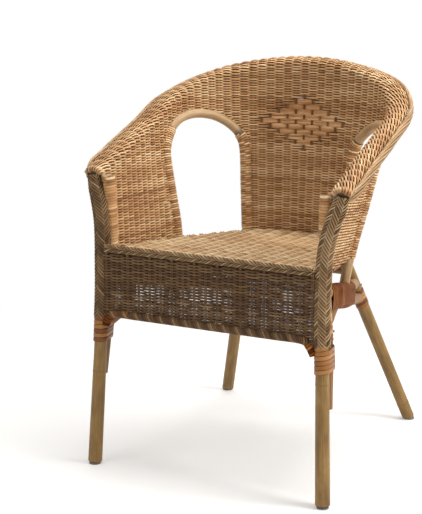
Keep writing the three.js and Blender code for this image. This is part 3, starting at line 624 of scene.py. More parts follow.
def runsInside(grid, clear):
    # Stretches of the grid where clear is above zero, with both ends worked out between samples
    inside = clear > 0
    runs = []
    changes = np.flatnonzero(np.diff(inside.astype(int)))
    starts = [-1, *changes]
    for first, last in zip(starts, [*changes, len(grid) - 1]):
        if not inside[first + 1]:
            continue
        values = list(grid[first + 1:last + 1])
        if first >= 0:
            values.insert(0, np.interp(0, [clear[first], clear[first + 1]], [grid[first], grid[first + 1]]))
        if last < len(grid) - 1:
            values.append(np.interp(0, [clear[last + 1], clear[last]], [grid[last + 1], grid[last]]))
        runs.append(np.array(values))
    return [run for run in runs if len(run) > 3]


def besideWindow(share, height):
    # No stakes stand close beside a window's front pole
    share = np.minimum(share, 1 - share)
    behindFront = share > windowLean(height) - stakesLook["windowGap"]
    return behindFront & (share < tub["windowBack"] + stakesLook["windowBehind"])


def stakesAt(height, onRoll):
    # The stakes that a row at this height crosses
    low = height < tub["windowSpring"] - stakesLook["windowBelow"]
    clear = outsideWindow(wallStakes, height, stakesLook["rowsOverArch"]) > 0
    kept = wallStakes[~(besideWindow(wallStakes, height) & low) & clear]
    return np.concatenate([allStakes[:1], kept, allStakes[-1:]]) if onRoll else kept


def rowWave(run, row, level, group):
    # Over one stake and under the next, alternating from row to row; in the diamond, whole groups of rows
    margin, over, under = rowsLook["endMargin"], diamondLook["over"], diamondLook["under"]
    stakes = stakesAt(level, level > tub["rimTip"])
    stakes = stakes[(stakes > run[0] + margin) & (stakes < run[-1] - margin)]
    if len(stakes) == 0:
        return np.full(len(run), 1.0 if row % 2 else -1.0), np.zeros(len(run))
    index = np.round(stakes * stakesLook["spacings"]).astype(int)
    inDiamond = np.abs(index - stakesLook["spacings"] // 2) + abs(group) <= diamondLook["reach"] + 1
    values = np.where((index + np.where(inDiamond, group, row)) % 2 == 0, -1.0, 1.0)
    values = np.where(inDiamond, np.where(values < 0, -over, -under), values)
    ends = [rowsLook["tipWave" if abs(end - tip) < 1e-6 else "endWave"]
            for end, tip in zip(run[[0, -1]], (0, 1))]
    values = np.concatenate([[-np.sign(values[0]) * ends[0]], values, [-np.sign(values[-1]) * ends[1]]])
    knots = np.concatenate([run[:1], stakes, run[-1:]])
    wave = swing(run, knots, values)
    bunched = swing(run, knots, np.concatenate([[0], inDiamond, [0]]))
    bulge = under + (over - under) * np.clip((-wave - under) / (over - under), 0, 1) ** diamondLook["lens"]
    return np.where(bunched > 0.99, -bulge, wave), bunched


def tubRows():
    rimHeight, flat = rollTop(shareGrid)
    edges = rimHeight + rollLengths[-1] * flat
    hems = splinePoint(seatPoints, shareGrid)[:, 2] - tub["skirt"] + rowsLook["width"] / 2
    postLevel = tub["rimTip"] - tub["rollHalfHeight"] / 2
    over, under, groupHeight = (diamondLook[key] for key in ("over", "under", "groupHeight"))
    rows = []
    for row in range(int((edges.max() - hems.min()) / rowsLook["pitch"])):
        level = hems.min() + row * rowsLook["pitch"]
        overArch = np.clip((level - tub["windowSpring"] + rowsLook["archLow"]) / rowsLook["archRise"], 0, 1)
        window = outsideWindow(shareGrid, level, rowsLook["overArch"] * overArch)
        clear = np.minimum(np.minimum(edges - level, level - hems) * rowsLook["hemWeight"], window)
        if level < postLevel:
            clear = np.minimum(clear, weavePoint(shareGrid, level)[0][:, 1] - footY - tub["front"])
        phases = randomness.uniform(0, 2 * math.pi, 3)
        tone = drawnTone(rowsLook["tone"], rowsLook["toneSpread"], *rowsLook["toneRange"])
        girth = randomness.uniform(*rowsLook["girths"])
        group = round((level - diamondLook["level"]) / groupHeight)
        toGroup = (diamondLook["level"] - level + groupHeight / 2) % groupHeight - groupHeight / 2
        for run in runsInside(shareGrid, clear):
            wave, bunched = rowWave(run, row, level, group)
            sinking = np.clip((over + wave) / (over - under), 0, 1)
            gather = bunched * sinking * diamondLook["bunch"] * toGroup
            slant = bunched * diamondLook["slant"] * np.sin(np.pi * (run * stakesLook["spacings"] + group))
            wobble = rippled(run, phases, rowsLook["ripples"]) * rowsLook["wobble"]
            points, outward = weavePoint(run, level + wobble + gather - slant)
            line = makeLine(points, outward, wave, tone, girth * (1 + diamondLook["girth"] * bunched))
            rows.append((level, hookedEnds(line, run)))
    return rows


def hookedEnds(line, run):
    # At an arm's tip the row ends bend round and down over the end of the roll
    turn = np.radians(hookLook["turns"])
    for end, inner in ((0, 1), (-1, -2)):
        point, outward = line["points"][end], line["outward"][end]
        if abs(run[end] - (0 if end == 0 else 1)) > 1e-6 or outward[2] > hookLook["steepest"]:
            continue
        aside = unit(point - line["points"][inner])
        ahead, down = aside * hookLook["ahead"], outward * -hookLook["down"] * outward[2]
        fade = np.cos(turn)
        extras = dict(points=[point + ahead * math.sin(t) + down * (1 - math.cos(t)) for t in turn],
                      outward=[unit(outward * math.cos(t) - aside * math.sin(t)) for t in turn],
                      wave=line["wave"][end] * fade, tone=[line["tone"][end]] * len(turn),
                      girth=line["girth"][end] * (1 - hookLook["taper"] + hookLook["taper"] * fade),
                      mark=[0.0] * len(turn))
        for key, extra in extras.items():
            line[key] = np.concatenate([extra[::-1], line[key]] if end == 0 else [line[key], extra])
    return line


def tubStakes():
    lines = []
    for share in allStakes:
        rimHeight, flat = rollTop(np.array(share))
        top = rimHeight + rollLengths[-1] * flat
        low = rimHeight - stakesLook["belowRim"]
        if share in wallStakes:
            low = splinePoint(seatPoints, share)[2] - tub["skirt"] + stakesLook["aboveHem"]
        levels = np.linspace(low, top, int((top - low) / stakesLook["step"]))
        tone = drawnTone(stakesLook["tone"], stakesLook["toneSpread"])
        clear = outsideWindow(np.full(len(levels), share), levels, stakesLook["overArch"])
        if besideWindow(share, stakesLook["windowLevel"]):
            clear = np.where(levels < tub["windowSpring"] - stakesLook["windowBelow"], -1.0, clear)
        for run in runsInside(levels, clear):
            for side in (-1, 1):
                shares = np.full(len(run), share + side * stakesLook["apart"] / tubLength)
                points, outward = weavePoint(shares, run)
                lines.append(makeLine(points, outward, 0.0, tone))
    return lines


allRows = tubRows()
rowInputs = strandInputs(weaveFinish, rowsLook["width"], rowsLook["thickness"], rowsLook["depth"])
stakeInputs = strandInputs(shadedStakeFinish, stakesLook["width"], stakesLook["width"], sides=5)
for bandName, (low, high) in tubBands.items():
    bandLines = [line for level, line in allRows if low <= level < high]
    grow(bandName, bandLines, strandTree, rowInputs, ["tub_weave"])
grow("tubStakes", tubStakes(), strandTree, stakeInputs, [])
print("tub woven")


# Seat and apron

seatLook = dict(pitch=0.0027, width=0.0036, depth=0.0024, spacing=0.0215, stakes=21, inset=0.0016,
                edge=0.2225, thickness=0.008, front=0.0075, behind=0.004, endMargin=0.004, beside=5,
                phase=6.28, ripples=((23, 1), (61, 0.6)), wobble=0.00025, tone=0.46, toneSpread=0.16,
                toneRange=(0.05, 1), girths=(0.92, 1.06), stakeStep=0.012, stakeMargin=0.002,
                stakeTone=0.5, stakeSpread=0.1)
apronLook = dict(pitch=0.00285, width=0.0039, depth=0.0022, spacing=0.0245, stakes=19, setback=0.007,
                 halfWidth=0.236, top=0.4435, archHeight=0.320, archDrop=0.030, corner=0.236,
                 archShares=[[0.95, 0.9], [0.91, 0.35], [0.85, 0.02], [0.6, 0]], endMargin=0.004, beside=6,
                 overArch=0.001, phase=6.28, ripples=((30, 0.5), (83, 0.4)), wobble=0.00028, tone=0.45,
                 toneSpread=0.16, toneRange=(0.02, 0.95), girths=(0.92, 1.05), stakeTop=0.004, stakePoints=14,
                 stakeTone=0.4, stakeSpread=0.1, loose=0.23, looseFrom=0.2,
                 looseSpots=[[-0.128, 0.042, 0.350, 0.412], [0.0, 0.048, 0.365, 0.424],
                             [0.171, 0.018, 0.362, 0.410]])  # middle, half width, bottom and top of each


def seatHalfWidthAt(depth):
    shares = np.linspace(0, 0.5, 80)
    line = splinePoint(seatPoints, shares)
    ends = splinePoint(seatPoints, np.array([tub["windowFoot"], tub["windowBack"]]))
    across = np.clip((shares - tub["windowFoot"]) / (tub["windowBack"] - tub["windowFoot"]), 0, 1)
    straight = ends[0] + (ends[1] - ends[0]) * across[:, None]
    inWindow = (across > 0) & (across < 1)
    line = np.where(inWindow[:, None], straight, line)
    return np.minimum(np.interp(depth + footY, line[:, 1], line[:, 0]) - seatLook["inset"], seatLook["edge"])


def knotsOf(look):
    return (np.arange(look["stakes"]) - (look["stakes"] - 1) / 2) * look["spacing"]


def besideKnots(knots, look, *extra):
    # Places at each knot and on both sides of it, in order
    steps = [knots + k * look["spacing"] / look["beside"] for k in range(-3, 4)]
    return np.unique(np.concatenate([*extra, *steps]).round(7))


def alternating(places, kept, knots, row, ends):
    # A wave that passes over and under the kept knots in turn, the other way round on the next row
    parity = row + int(np.flatnonzero(knots == kept[0])[0])
    values = np.where((np.arange(len(kept)) + parity) % 2 == 0, 1.0, -1.0)
    values = np.concatenate([[-values[0]], values, [-values[-1]]])
    return swing(places, np.concatenate([[ends[0]], kept, [ends[1]]]), values)


def seatPlace(across, depth):
    across, depth = np.broadcast_arrays(across, depth)
    nudge = 0.001
    points = np.stack([across, footY + depth, seatHeight(depth) - seatLook["thickness"] / 2], axis=-1)
    slope = (seatHeight(depth + nudge) - seatHeight(depth - nudge)) / (2 * nudge)
    return points, unit(np.stack([0 * slope, -slope, np.ones_like(slope)], axis=-1))


def seatLines():
    look = seatLook
    knots = knotsOf(look)
    back = tub["seatSetback"] + tub["seatDepth"] - look["behind"]
    rows, stakes = [], []
    for row in range(int((back - look["front"]) / look["pitch"])):
        depth = look["front"] + row * look["pitch"]
        half = float(seatHalfWidthAt(depth))
        kept = knots[np.abs(knots) < half - look["endMargin"]]
        if len(kept) < 2:
            continue
        places = besideKnots(kept, look, np.linspace(-half, half, 3))
        places = places[np.abs(places) <= half]
        phases = randomness.uniform(0, look["phase"], 2)
        points, up = seatPlace(places, depth + rippled(places, phases, look["ripples"]) * look["wobble"])
        tone = drawnTone(look["tone"], look["toneSpread"], *look["toneRange"])
        wave = alternating(places, kept, knots, row, (-half, half))
        rows.append(makeLine(points, up, wave, tone, randomness.uniform(*look["girths"])))
    depths = np.arange(look["front"], back, look["stakeStep"])
    halves = seatHalfWidthAt(depths)
    for knot in knots:
        kept = depths[halves > abs(knot) + look["stakeMargin"]]
        for side in (-1, 1):
            points, up = seatPlace(np.full(len(kept), knot + side * stakesLook["apart"]), kept)
            stakes.append(makeLine(points, up, 0.0, drawnTone(look["stakeTone"], look["stakeSpread"])))
    return rows, stakes


def apronPlace(across, height):
    depth = np.full(len(across), footY + apronLook["setback"])
    return np.stack([across, depth, height], axis=1), np.array([0, -1, 0])


def apronLines():
    look = apronLook
    right = [[look["corner"] * x, 0, look["archHeight"] - look["archDrop"] * drop]
             for x, drop in look["archShares"]]
    left = [[-x, y, z] for x, y, z in right[::-1]]
    arch = smoothLine([*right, [0, 0, look["archHeight"]], *left])[::-1]
    knots = knotsOf(look)
    grid = besideKnots(knots, look)
    grid = grid[np.abs(grid) < look["halfWidth"]]
    archAt = np.interp(grid, arch[:, 0], arch[:, 2])
    rows, stakes = [], []
    low = arch[:, 2].min()
    for row in range(int((look["top"] - low) / look["pitch"])):
        height = low + row * look["pitch"]
        phases = randomness.uniform(0, look["phase"], 3)
        tone = drawnTone(look["tone"], look["toneSpread"], *look["toneRange"])
        for run in runsInside(grid, height - archAt + look["overArch"]):
            kept = knots[(knots > run[0] + look["endMargin"]) & (knots < run[-1] - look["endMargin"])]
            if len(kept) < 1:
                continue
            points, front = apronPlace(run, height + rippled(run, phases, look["ripples"]) * look["wobble"])
            spots = sum(np.exp(-((run - middle) / half) ** 4) * (bottom < height < top)
                        for middle, half, bottom, top in look["looseSpots"])
            loose = look["loose"] * spots * randomness.uniform(look["looseFrom"], 1)
            girth = randomness.uniform(*look["girths"]) * (1 - loose)
            wave = alternating(run, kept, knots, row, (run[0], run[-1]))
            rows.append(makeLine(points, front, wave, tone, girth))
    for knot in knots:
        bottom = float(np.interp(knot, arch[:, 0], arch[:, 2]))
        heights = np.linspace(bottom, look["top"] + look["stakeTop"], look["stakePoints"])
        for side in (-1, 1):
            points, front = apronPlace(np.full(len(heights), knot + side * stakesLook["apart"]), heights)
            stakes.append(makeLine(points, front, 0.0, drawnTone(look["stakeTone"], look["stakeSpread"])))
    return rows, stakes, arch


seatRows, seatStakeLines = seatLines()
apronRows, apronStakeLines, archLine = apronLines()
for name, rows, stakes, look, finish, node in (
        ("seat", seatRows, seatStakeLines, seatLook, seatFinish, "seat_weave"),
        ("apron", apronRows, apronStakeLines, apronLook, shadedApronFinish, "front_apron")):
    rowInputs = strandInputs(finish, look["width"], rowsLook["thickness"], look["depth"])
    grow(f"{name}Rows", rows, strandTree, rowInputs, [node])
    grow(f"{name}Stakes", stakes, strandTree, stakeInputs, [])
print("seat and apron woven")


# Poles of the frame

# A rattan pole has nodes at uneven gaps, and cut ends with a slightly rounded edge
poleLook = dict(nodeGap=(0.24, 0.38), firstNode=0.03, lastNode=0.01, nodeStep=0.0011, ridge=0.035,
                ridgeWidth=0.0026, markWidth=0.0016, markShift=0.001, sides=20, step=0.01, stepMargin=0.004,
                nodeMark=0.45, coverShade=1.7, cutMark=-0.5, cutDepth=0.0003,
                cutRound=((0, 0.86), (0.0006, 0.95), (0.002, 1.0)))
legLook = dict(
    footHalfWidth=0.251, footRadius=0.0144, topRadius=0.0114,
    legShares=[[1.005, -0.05, -0.05], [1, 0, 0], [0.948, 0.48, 0.53], [0.94, 0.58, 0.72], [0.958, 0.76, 0.86],
               [1.04, 1.1, 0.99]], covered=(0.262, 0.7),
    postShares=[[0.98, 1, 0.314], [0.957, 1.2, 0.48], [0.932, 1.27, 0.6], [0.908, 1.28, 0.77],
                [0.912, 1.27, 0.88], [0.92, 1.2, 0.985]],
    postRadius=0.0104, postTailRadius=0.0074, postTailShare=0.25,
)
backLook = dict(footHalfWidth=0.226, footDepth=0.552, topHalfWidth=0.1087, topDepth=0.413, topHeight=0.400,
                radius=0.0134, railHeight=0.352, railBow=0.008, railRadius=0.009, railEndShare=0.805,
                archEndShare=0.725, steps=120)
railLook = dict(
    height=0.371, fall=0.1, radius=0.012, archRadius=0.0116, pitch=0.0248,
    railShares=[[0.915, 0.086, 0.326], [0.884, 0.205, 0.223], [0.813, 0.362, 0.015], [0.683, 0.56, -0.241]],
    archEndShares=[[0.94, 0.075, -0.779], [0.87, 0.125, -0.557], [0.862, 0.165, -0.315]],
    archTailShares=[[0.61, 0.67, -0.649]],
)
frameLook = dict(rimRadius=0.0106, windowRadius=0.010, hoopRadius=0.010, frontRadius=0.009,
                 frontArchRadius=0.006, poleEnd=0.372, backDrop=0.024, hoopInset=0.0168, hoopGap=0.0006,
                 frontDepth=0.0193, frontHalfWidth=0.232, windowCovered=(0.427, 0.632), floorClear=0.0032)


def poleLine(path, radius, tone, facing=(0, -1, 0), low=None, wrapped=None):
    # Sample stations along a pole, closer together at its nodes, where it swells a little
    look = poleLook
    path = np.asarray(path, float)
    if low is not None:
        path = path[path[:, 2] >= low]
    lengths = travelled(path)
    whole = lengths[-1]
    nodes, spot = [], randomness.uniform(look["firstNode"], look["nodeGap"][0])
    while spot < whole - look["lastNode"]:
        nodes.append(spot)
        spot += randomness.uniform(*look["nodeGap"])
    close = [node + k * look["nodeStep"] for node in nodes for k in range(-4, 5)]
    depths, girths = zip(*look["cutRound"])
    ends = [*depths, *[whole - depth for depth in depths]]
    margin = look["stepMargin"]
    stations = np.concatenate([np.arange(margin, whole - margin, look["step"]), close, ends])
    stations = np.unique(stations[(stations >= 0) & (stations <= whole)].round(5))
    points = np.stack([np.interp(stations, lengths, path[:, k]) for k in range(3)], axis=1)
    swell = sum(np.exp(-((stations - node) / look["ridgeWidth"]) ** 2) for node in nodes)
    mark = sum(np.exp(-((stations - node - look["markShift"]) / look["markWidth"]) ** 2) for node in nodes)
    mark = np.clip(mark, 0, 1) * look["nodeMark"]
    if wrapped is not None:
        # Stretches under windings get painted shade, dark where they show between the turns
        mark = np.where((points[:, 2] > wrapped[0]) & (points[:, 2] < wrapped[1]), look["coverShade"], mark)
    toEnd = np.minimum(stations, whole - stations)
    mark = np.where((toEnd < look["cutDepth"]) & (mark < 1), look["cutMark"], mark)
    size = radius(stations / whole) if callable(radius) else radius
    girth = 2 * size * (1 + look["ridge"] * swell) * np.interp(toEnd, depths, girths)
    return makeLine(points, facing, 0.0, tone, girth, mark)


poleInputs, frameInputs, hoopInputs = (strandInputs(finish, 1.0, 1.0, sides=poleLook["sides"])
                                       for finish in (poleFinish, frameFinish, hoopFinish))


def legPath(side, shares):
    return smoothLine([[side * legLook["footHalfWidth"] * x, footY + tub["rimSetback"] * y, tub["rimTip"] * z]
                       for x, y, z in shares])


def railPath(side, shares, drop=0.0):
    return [[side * legLook["footHalfWidth"] * x, footY + backLook["footDepth"] * y,
             railLook["height"] + railLook["fall"] * z - drop] for x, y, z in shares]


def windowLine(side):
    heights = [tub["seatFront"], (tub["seatFront"] + tub["windowSpring"]) / 2]
    rows = [[float(windowLean(height)), height] for height in [frameLook["poleEnd"], *heights]]
    for turn in np.linspace(0, math.pi, 9):
        share = tub["windowFront"] + (tub["windowBack"] - tub["windowFront"]) * (1 - math.cos(turn)) / 2
        rows.append([share, tub["windowSpring"] + (tub["windowTop"] - tub["windowSpring"]) * math.sin(turn)])
    backEnd = tub["seatFront"] - tub["seatFall"] - frameLook["backDrop"]
    rows += [[tub["windowBack"], height] for height in [*heights[::-1], backEnd]]
    shares = np.array([share if side > 0 else 1 - share for share, height in rows])
    points, outward = wallPoint(shares, np.array([height for share, height in rows]))
    return smoothLine(points + outward * tub["thickness"] / 2)


def backLegLine(side):
    foot = np.array([side * backLook["footHalfWidth"], footY + backLook["footDepth"], 0])
    top = np.array([side * backLook["topHalfWidth"], footY + backLook["topDepth"], backLook["topHeight"]])
    return np.linspace(foot, top, backLook["steps"] + 1)


def legRadii(shares):
    return legLook["footRadius"] + (legLook["topRadius"] - legLook["footRadius"]) * shares


def postRadii(shares):
    return np.interp(shares, [0, legLook["postTailShare"]],
                     [legLook["postTailRadius"], legLook["postRadius"]])


framePaths = {}
floorClear, upright, lying = frameLook["floorClear"], (0, -1, 0.001), (0, 0, 1)
for side, label in ((1, "right"), (-1, "left")):
    tones = randomness.uniform(0, 1, 6)
    leg, post = (legPath(side, legLook[key]) for key in ("legShares", "postShares"))
    back, window = backLegLine(side), windowLine(side)
    railEnd, archEnd = (list(back[round(backLook["steps"] * backLook[key])])
                        for key in ("railEndShare", "archEndShare"))
    rail = smoothLine(railPath(side, railLook["railShares"]) + [railEnd])
    arch = smoothLine(railPath(side, railLook["archEndShares"])
                      + railPath(side, railLook["railShares"][1:4], railLook["pitch"])
                      + railPath(side, railLook["archTailShares"]) + [archEnd])
    framePaths[label] = dict(leg=leg, post=post, window=window, back=back, rail=rail)
    for (name, node, path, radius, inputs, facing, low, wrapped), tone in zip((
            ("FrontLeg", f"front_{label}_leg", leg, legRadii, poleInputs, upright, floorClear,
             legLook["covered"]),
            ("BackLeg", f"back_{label}_leg", back, backLook["radius"], poleInputs, upright, floorClear, None),
            ("InnerPost", f"{label}_inner_post", post, postRadii, frameInputs, upright, None,
             legLook["covered"]),
            ("WindowHoop", f"{label}_window_hoop", window, frameLook["windowRadius"], hoopInputs,
             (side, 0.3, 0), None, frameLook["windowCovered"]),
            ("SideRail", f"{label}_side_rail", rail, railLook["radius"], frameInputs, lying, None, None),
            ("ArchedRail", f"{label}_arched_rail", arch, railLook["archRadius"], frameInputs, lying, None,
             None),
    ), tones):
        pole = poleLine(path, radius, tone, facing, low, wrapped)
        piece = grow(f"{label}{name}", [pole], strandTree, inputs, [node])
        for vertex in piece.data.vertices:
            vertex.co.z = max(vertex.co.z, floorClear)  # a raked pole is cut level above its glide

hoopShares = np.linspace(0, 1, 17)
hoopEdge = splinePoint(seatPoints, hoopShares) - outwardAt(hoopShares) * frameLook["hoopInset"]
hoopEdge[:, 2] -= seatLook["thickness"] + frameLook["hoopRadius"] + frameLook["hoopGap"]
hoopEdge = smoothLine(hoopEdge)
hoopEdge = hoopEdge[hoopEdge[:, 1] > footY + frameLook["frontDepth"]]
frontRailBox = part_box("front_rail")
frontRailPlace = (frontRailBox[0] + frontRailBox[1]) / 2
frontRailLine = np.linspace([frameLook["frontHalfWidth"], *frontRailPlace.yz],
                            [-frameLook["frontHalfWidth"], *frontRailPlace.yz], 60)
backRailShare = backLook["railHeight"] / backLook["topHeight"]
backRailEnd = backLegLine(1)[round(backRailShare * backLook["steps"])]
bow = np.linspace(-1, 1, 60)
backRailLine = np.stack([bow * backRailEnd[0], backRailEnd[1] + backLook["railBow"] / 2 * (1 - bow ** 2),
                         np.full(60, backLook["railHeight"])], axis=1)
frontArch = archLine[::-1] + np.array([0, footY + apronLook["setback"], 0])
rimLine = smoothLine(rimPoints, 400)
for name, path, radius, node, covered in (
        ("rimPole", rimLine, frameLook["rimRadius"], "rim_pole", (0.0, 1.0)),
        ("seatHoop", hoopEdge, frameLook["hoopRadius"], "seat_hoop", None),
        ("frontRail", frontRailLine, frameLook["frontRadius"], "front_rail", None),
        ("backRail", backRailLine, backLook["railRadius"], "back_rail", None),
        ("frontArchPole", frontArch, frameLook["frontArchRadius"], "front_arch_pole", None)):
    pole = poleLine(path, radius, randomness.uniform(0, 1), (0, 0, 1), wrapped=covered)
    grow(name, [pole], strandTree, frameInputs, [node])
print("frame poles made")


# Braids on the legs and the rim, and the rope along the seat's front edge

legBraidLook = dict(low=0.3075, high=0.574, top=0.592, topOut=0.004, radius=0.0142, shrink=(0.03, 0.8),
                    each=15, ways=(1, -1), columns=3, lean=math.radians(40), width=0.0040, thickness=0.0024,
                    depth=0.0011, step=0.0022, right=(0.46, 0.2), left=(0.26, 0.16))
borderLook = dict(angle=math.radians(12), out=0.0009, tipInset=0.009, tipDrop=0.006, halfThickness=0.0034,
                  halfHeight=0.0088, shrink=(0.012, 0.2), bothEnds=True, each=9, ways=(1,),
                  lean=math.radians(7), width=0.0052, thickness=0.0030, step=0.004, tones=(0.5, 0.18))
edgeLook = dict(halfWidth=0.212, radius=0.0070, each=6, ways=(1,), lean=math.radians(58), width=0.0044,
                thickness=0.0030, step=0.0014, tones=(0.45, 0.2))
ropeLook = dict(setback=0.0045, radius=0.0016, helix=0.0026, offset=0.0042, strands=4, turn=0.032,
                halfWidth=0.222, step=0.0016, tones=(0.55, 0.25))
plaitLook = dict(columnTurn=math.radians(100), columnWave=1.4, girths=(0.9, 1.05))


def braidLines(path, halfAcross, halfFacing, facing, look, tones):
    # Strands wound one way over an oval, or two sets wound opposite ways that change places in
    # columns, which gives the fishbone
    lengths = travelled(path)
    stations = np.arange(0, lengths[-1], look["step"])
    centre = np.stack([np.interp(stations, lengths, path[:, k]) for k in range(3)], axis=1)
    tangent = unit(np.gradient(centre, axis=0))
    second = np.broadcast_to(np.asarray(facing, float), tangent.shape)
    second = unit(second - tangent * (second * tangent).sum(1, keepdims=True))
    first = np.cross(second, tangent)
    turned = stations * math.tan(look["lean"]) / ((halfAcross + halfFacing) / 2)
    toEnd = lengths[-1] - stations
    if "bothEnds" in look:
        toEnd = np.minimum(stations, toEnd)
    reach, share = look.get("shrink", (1, 1))
    size = np.interp(toEnd, [0, reach], [share, 1])
    strands = []
    for way in look["ways"]:
        for index in range(look["each"]):
            angle = 2 * math.pi * index / look["each"] + way * turned
            columns = look.get("columns", 0) * (angle + plaitLook["columnTurn"])
            wave = way * np.sin(columns) * plaitLook["columnWave"]
            across, towards = first * np.cos(angle)[:, None], second * np.sin(angle)[:, None]
            points = centre + (across * halfAcross + towards * halfFacing) * size[:, None]
            outward = unit(across * halfFacing + towards * halfAcross)
            tone = drawnTone(*tones)
            girth = randomness.uniform(*plaitLook["girths"]) * size
            strands.append(makeLine(points, outward, wave, tone, girth))
    return strands


def growBraid(name, strands, look, finish, nodes):
    inputs = strandInputs(finish, look["width"], look["thickness"], look.get("depth", 0.0))
    grow(name, strands, strandTree, inputs, nodes)


for label, side in (("right", 1), ("left", -1)):
    look = legBraidLook
    path = clipped(framePaths[label]["leg"], 2, look["low"], look["high"])
    tip = path[-1] + [side * look["topOut"], 0, look["top"] - look["high"]]
    path = np.vstack([path, (path[-1] + tip) / 2, tip])
    strands = braidLines(path, look["radius"], look["radius"], (0, -1, 0), look, look[label])
    growBraid(f"{label}LegBraid", strands, look, braidFinish, [f"{label}_leg_braid"])

borderShares = np.linspace(0, 1, 41)
borderRows = rollPoint(borderShares, np.full(41, borderLook["angle"]), borderLook["out"])
for end in (0, -1):
    borderRows[end] = rollPoint(borderShares[end], borderLook["angle"], -borderLook["tipInset"])
    borderRows[end][2] -= borderLook["tipDrop"]
borderStrands = braidLines(smoothLine(borderRows, 900), borderLook["halfThickness"], borderLook["halfHeight"],
                           (0, 0, 1), borderLook, borderLook["tones"])
growBraid("rimBorder", borderStrands, borderLook, borderFinish, ["rim_border"])

edgePath = clipped(frontArch, 0, -edgeLook["halfWidth"], edgeLook["halfWidth"])
edgeStrands = braidLines(edgePath, edgeLook["radius"], edgeLook["radius"], (0, 0, 1), edgeLook,
                         edgeLook["tones"])
growBraid("apronEdge", edgeStrands, edgeLook, shadedApronFinish, [])


def growWinding(name, path, look, poleRadius, seed, finish, nodes):
    winding = {"Pole Radius": poleRadius, "Pitch": look["pitch"], "Seed": seed}
    inputs = strandInputs(finish, look["width"], look["thickness"], sides=8, winding=winding)
    grow(name, [makeLine(path, (0, -1, 0.01))], windingTree, inputs, nodes)


bindLook = dict(outer=0.231, leftInner=0.158, rightInner=0.2, radius=0.0072, pitch=0.0060, width=0.0062,
                thickness=0.0018, seed=9)
for label, low, high in (("right", bindLook["rightInner"], bindLook["outer"]),
                         ("left", -bindLook["outer"], -bindLook["leftInner"])):
    growWinding(f"{label}ArchBinding", clipped(frontArch, 0, low, high), bindLook, bindLook["radius"],
                bindLook["seed"], shadedCaneFinish, [])


def ropeLines():
    look = ropeLook
    stations = np.arange(-look["halfWidth"], look["halfWidth"], look["step"])
    ropes = []
    for level in (1, -1):
        height = tub["seatFront"] + level * look["offset"]
        centre = np.stack(np.broadcast_arrays(stations, footY + look["setback"], height), axis=1)
        for index in range(look["strands"]):
            angle = level * 2 * math.pi * (stations / look["turn"] + index / look["strands"])
            outward = np.stack([0 * angle, np.cos(angle), np.sin(angle)], axis=1)
            ropes.append(makeLine(centre + outward * look["helix"], outward, 1.0, drawnTone(*look["tones"])))
    return ropes


ropeInputs = strandInputs(braidFinish, 2 * ropeLook["radius"], 2 * ropeLook["radius"], sides=8)
grow("seatEdgeRope", ropeLines(), strandTree, ropeInputs, ["seat_edge_braid"])
print("braids made")


# Windings of strand and cane round single poles

windLook = dict(
    post=dict(pitch=0.0054, width=0.0064, thickness=0.0028, lift=0.0006),
    windowFront=dict(pitch=0.0048, width=0.0042, thickness=0.0026, lift=0.0010),
    windowBack=dict(pitch=0.0050, width=0.0047, thickness=0.0026, lift=0.0010),
    cane=dict(pitch=0.0078, width=0.0080, thickness=0.0016, lift=0.0007),
    innerLow=-0.004, innerTop=0.012, frontTop=0.650, backTop=0.630, postBand=(0.3092, 0.389),
    backBand=(0.272, 0.307), firstSeed=5,
)
seatBack = tub["seatFront"] - tub["seatFall"]
for label in ("right", "left"):
    own = framePaths[label]
    window, post = own["window"], own["post"]
    top = np.argmax(window[:, 2])
    innerPath = np.vstack([clipped(post, 2, tub["seatFront"] + windLook["innerLow"], 1),
                           post[-1] + [0, 0, windLook["innerTop"]]])
    for number, (name, node, path, radius, key, finish, slotName) in enumerate((
            ("InnerPostWrap", "inner_post_wrap", innerPath, legLook["postRadius"],
             "post", wrapFinish, "weave"),
            ("WindowFrontWrap", "window_front_wrap", clipped(window[:top], 2, seatBack, windLook["frontTop"]),
             frameLook["windowRadius"], "windowFront", wrapFinish, "weave"),
            ("WindowBackWrap", "window_back_wrap", clipped(window[top:], 2, seatBack, windLook["backTop"]),
             frameLook["windowRadius"], "windowBack", wrapFinish, "weave"),
            ("PostWrap", "post_wrap", clipped(post, 2, *windLook["postBand"]), legLook["postRadius"],
             "cane", caneFinish, "cane"),
            ("BackLegWrap", "back_leg_wrap", clipped(own["back"], 2, *windLook["backBand"]),
             backLook["radius"], "cane", caneFinish, "cane"))):
        look = windLook[key]
        growWinding(f"{label}{name}", path, look, radius + look["lift"], windLook["firstSeed"] + number,
                    finish, [f"{label}_{node}"])


# Collars and rail wraps, wound round two poles at once

twinLook = dict(width=0.0088, thickness=0.0018, collarLow=0.2575, collarHigh=0.3088, reach=0.0007,
                collarLeg=0.01415, collarPost=0.01165, railWidth=0.0068, railAhead=0.055, railBehind=0.02,
                apart=1.02, steps=20, samples=200, tones=(0.5, 0.2), shades=30)


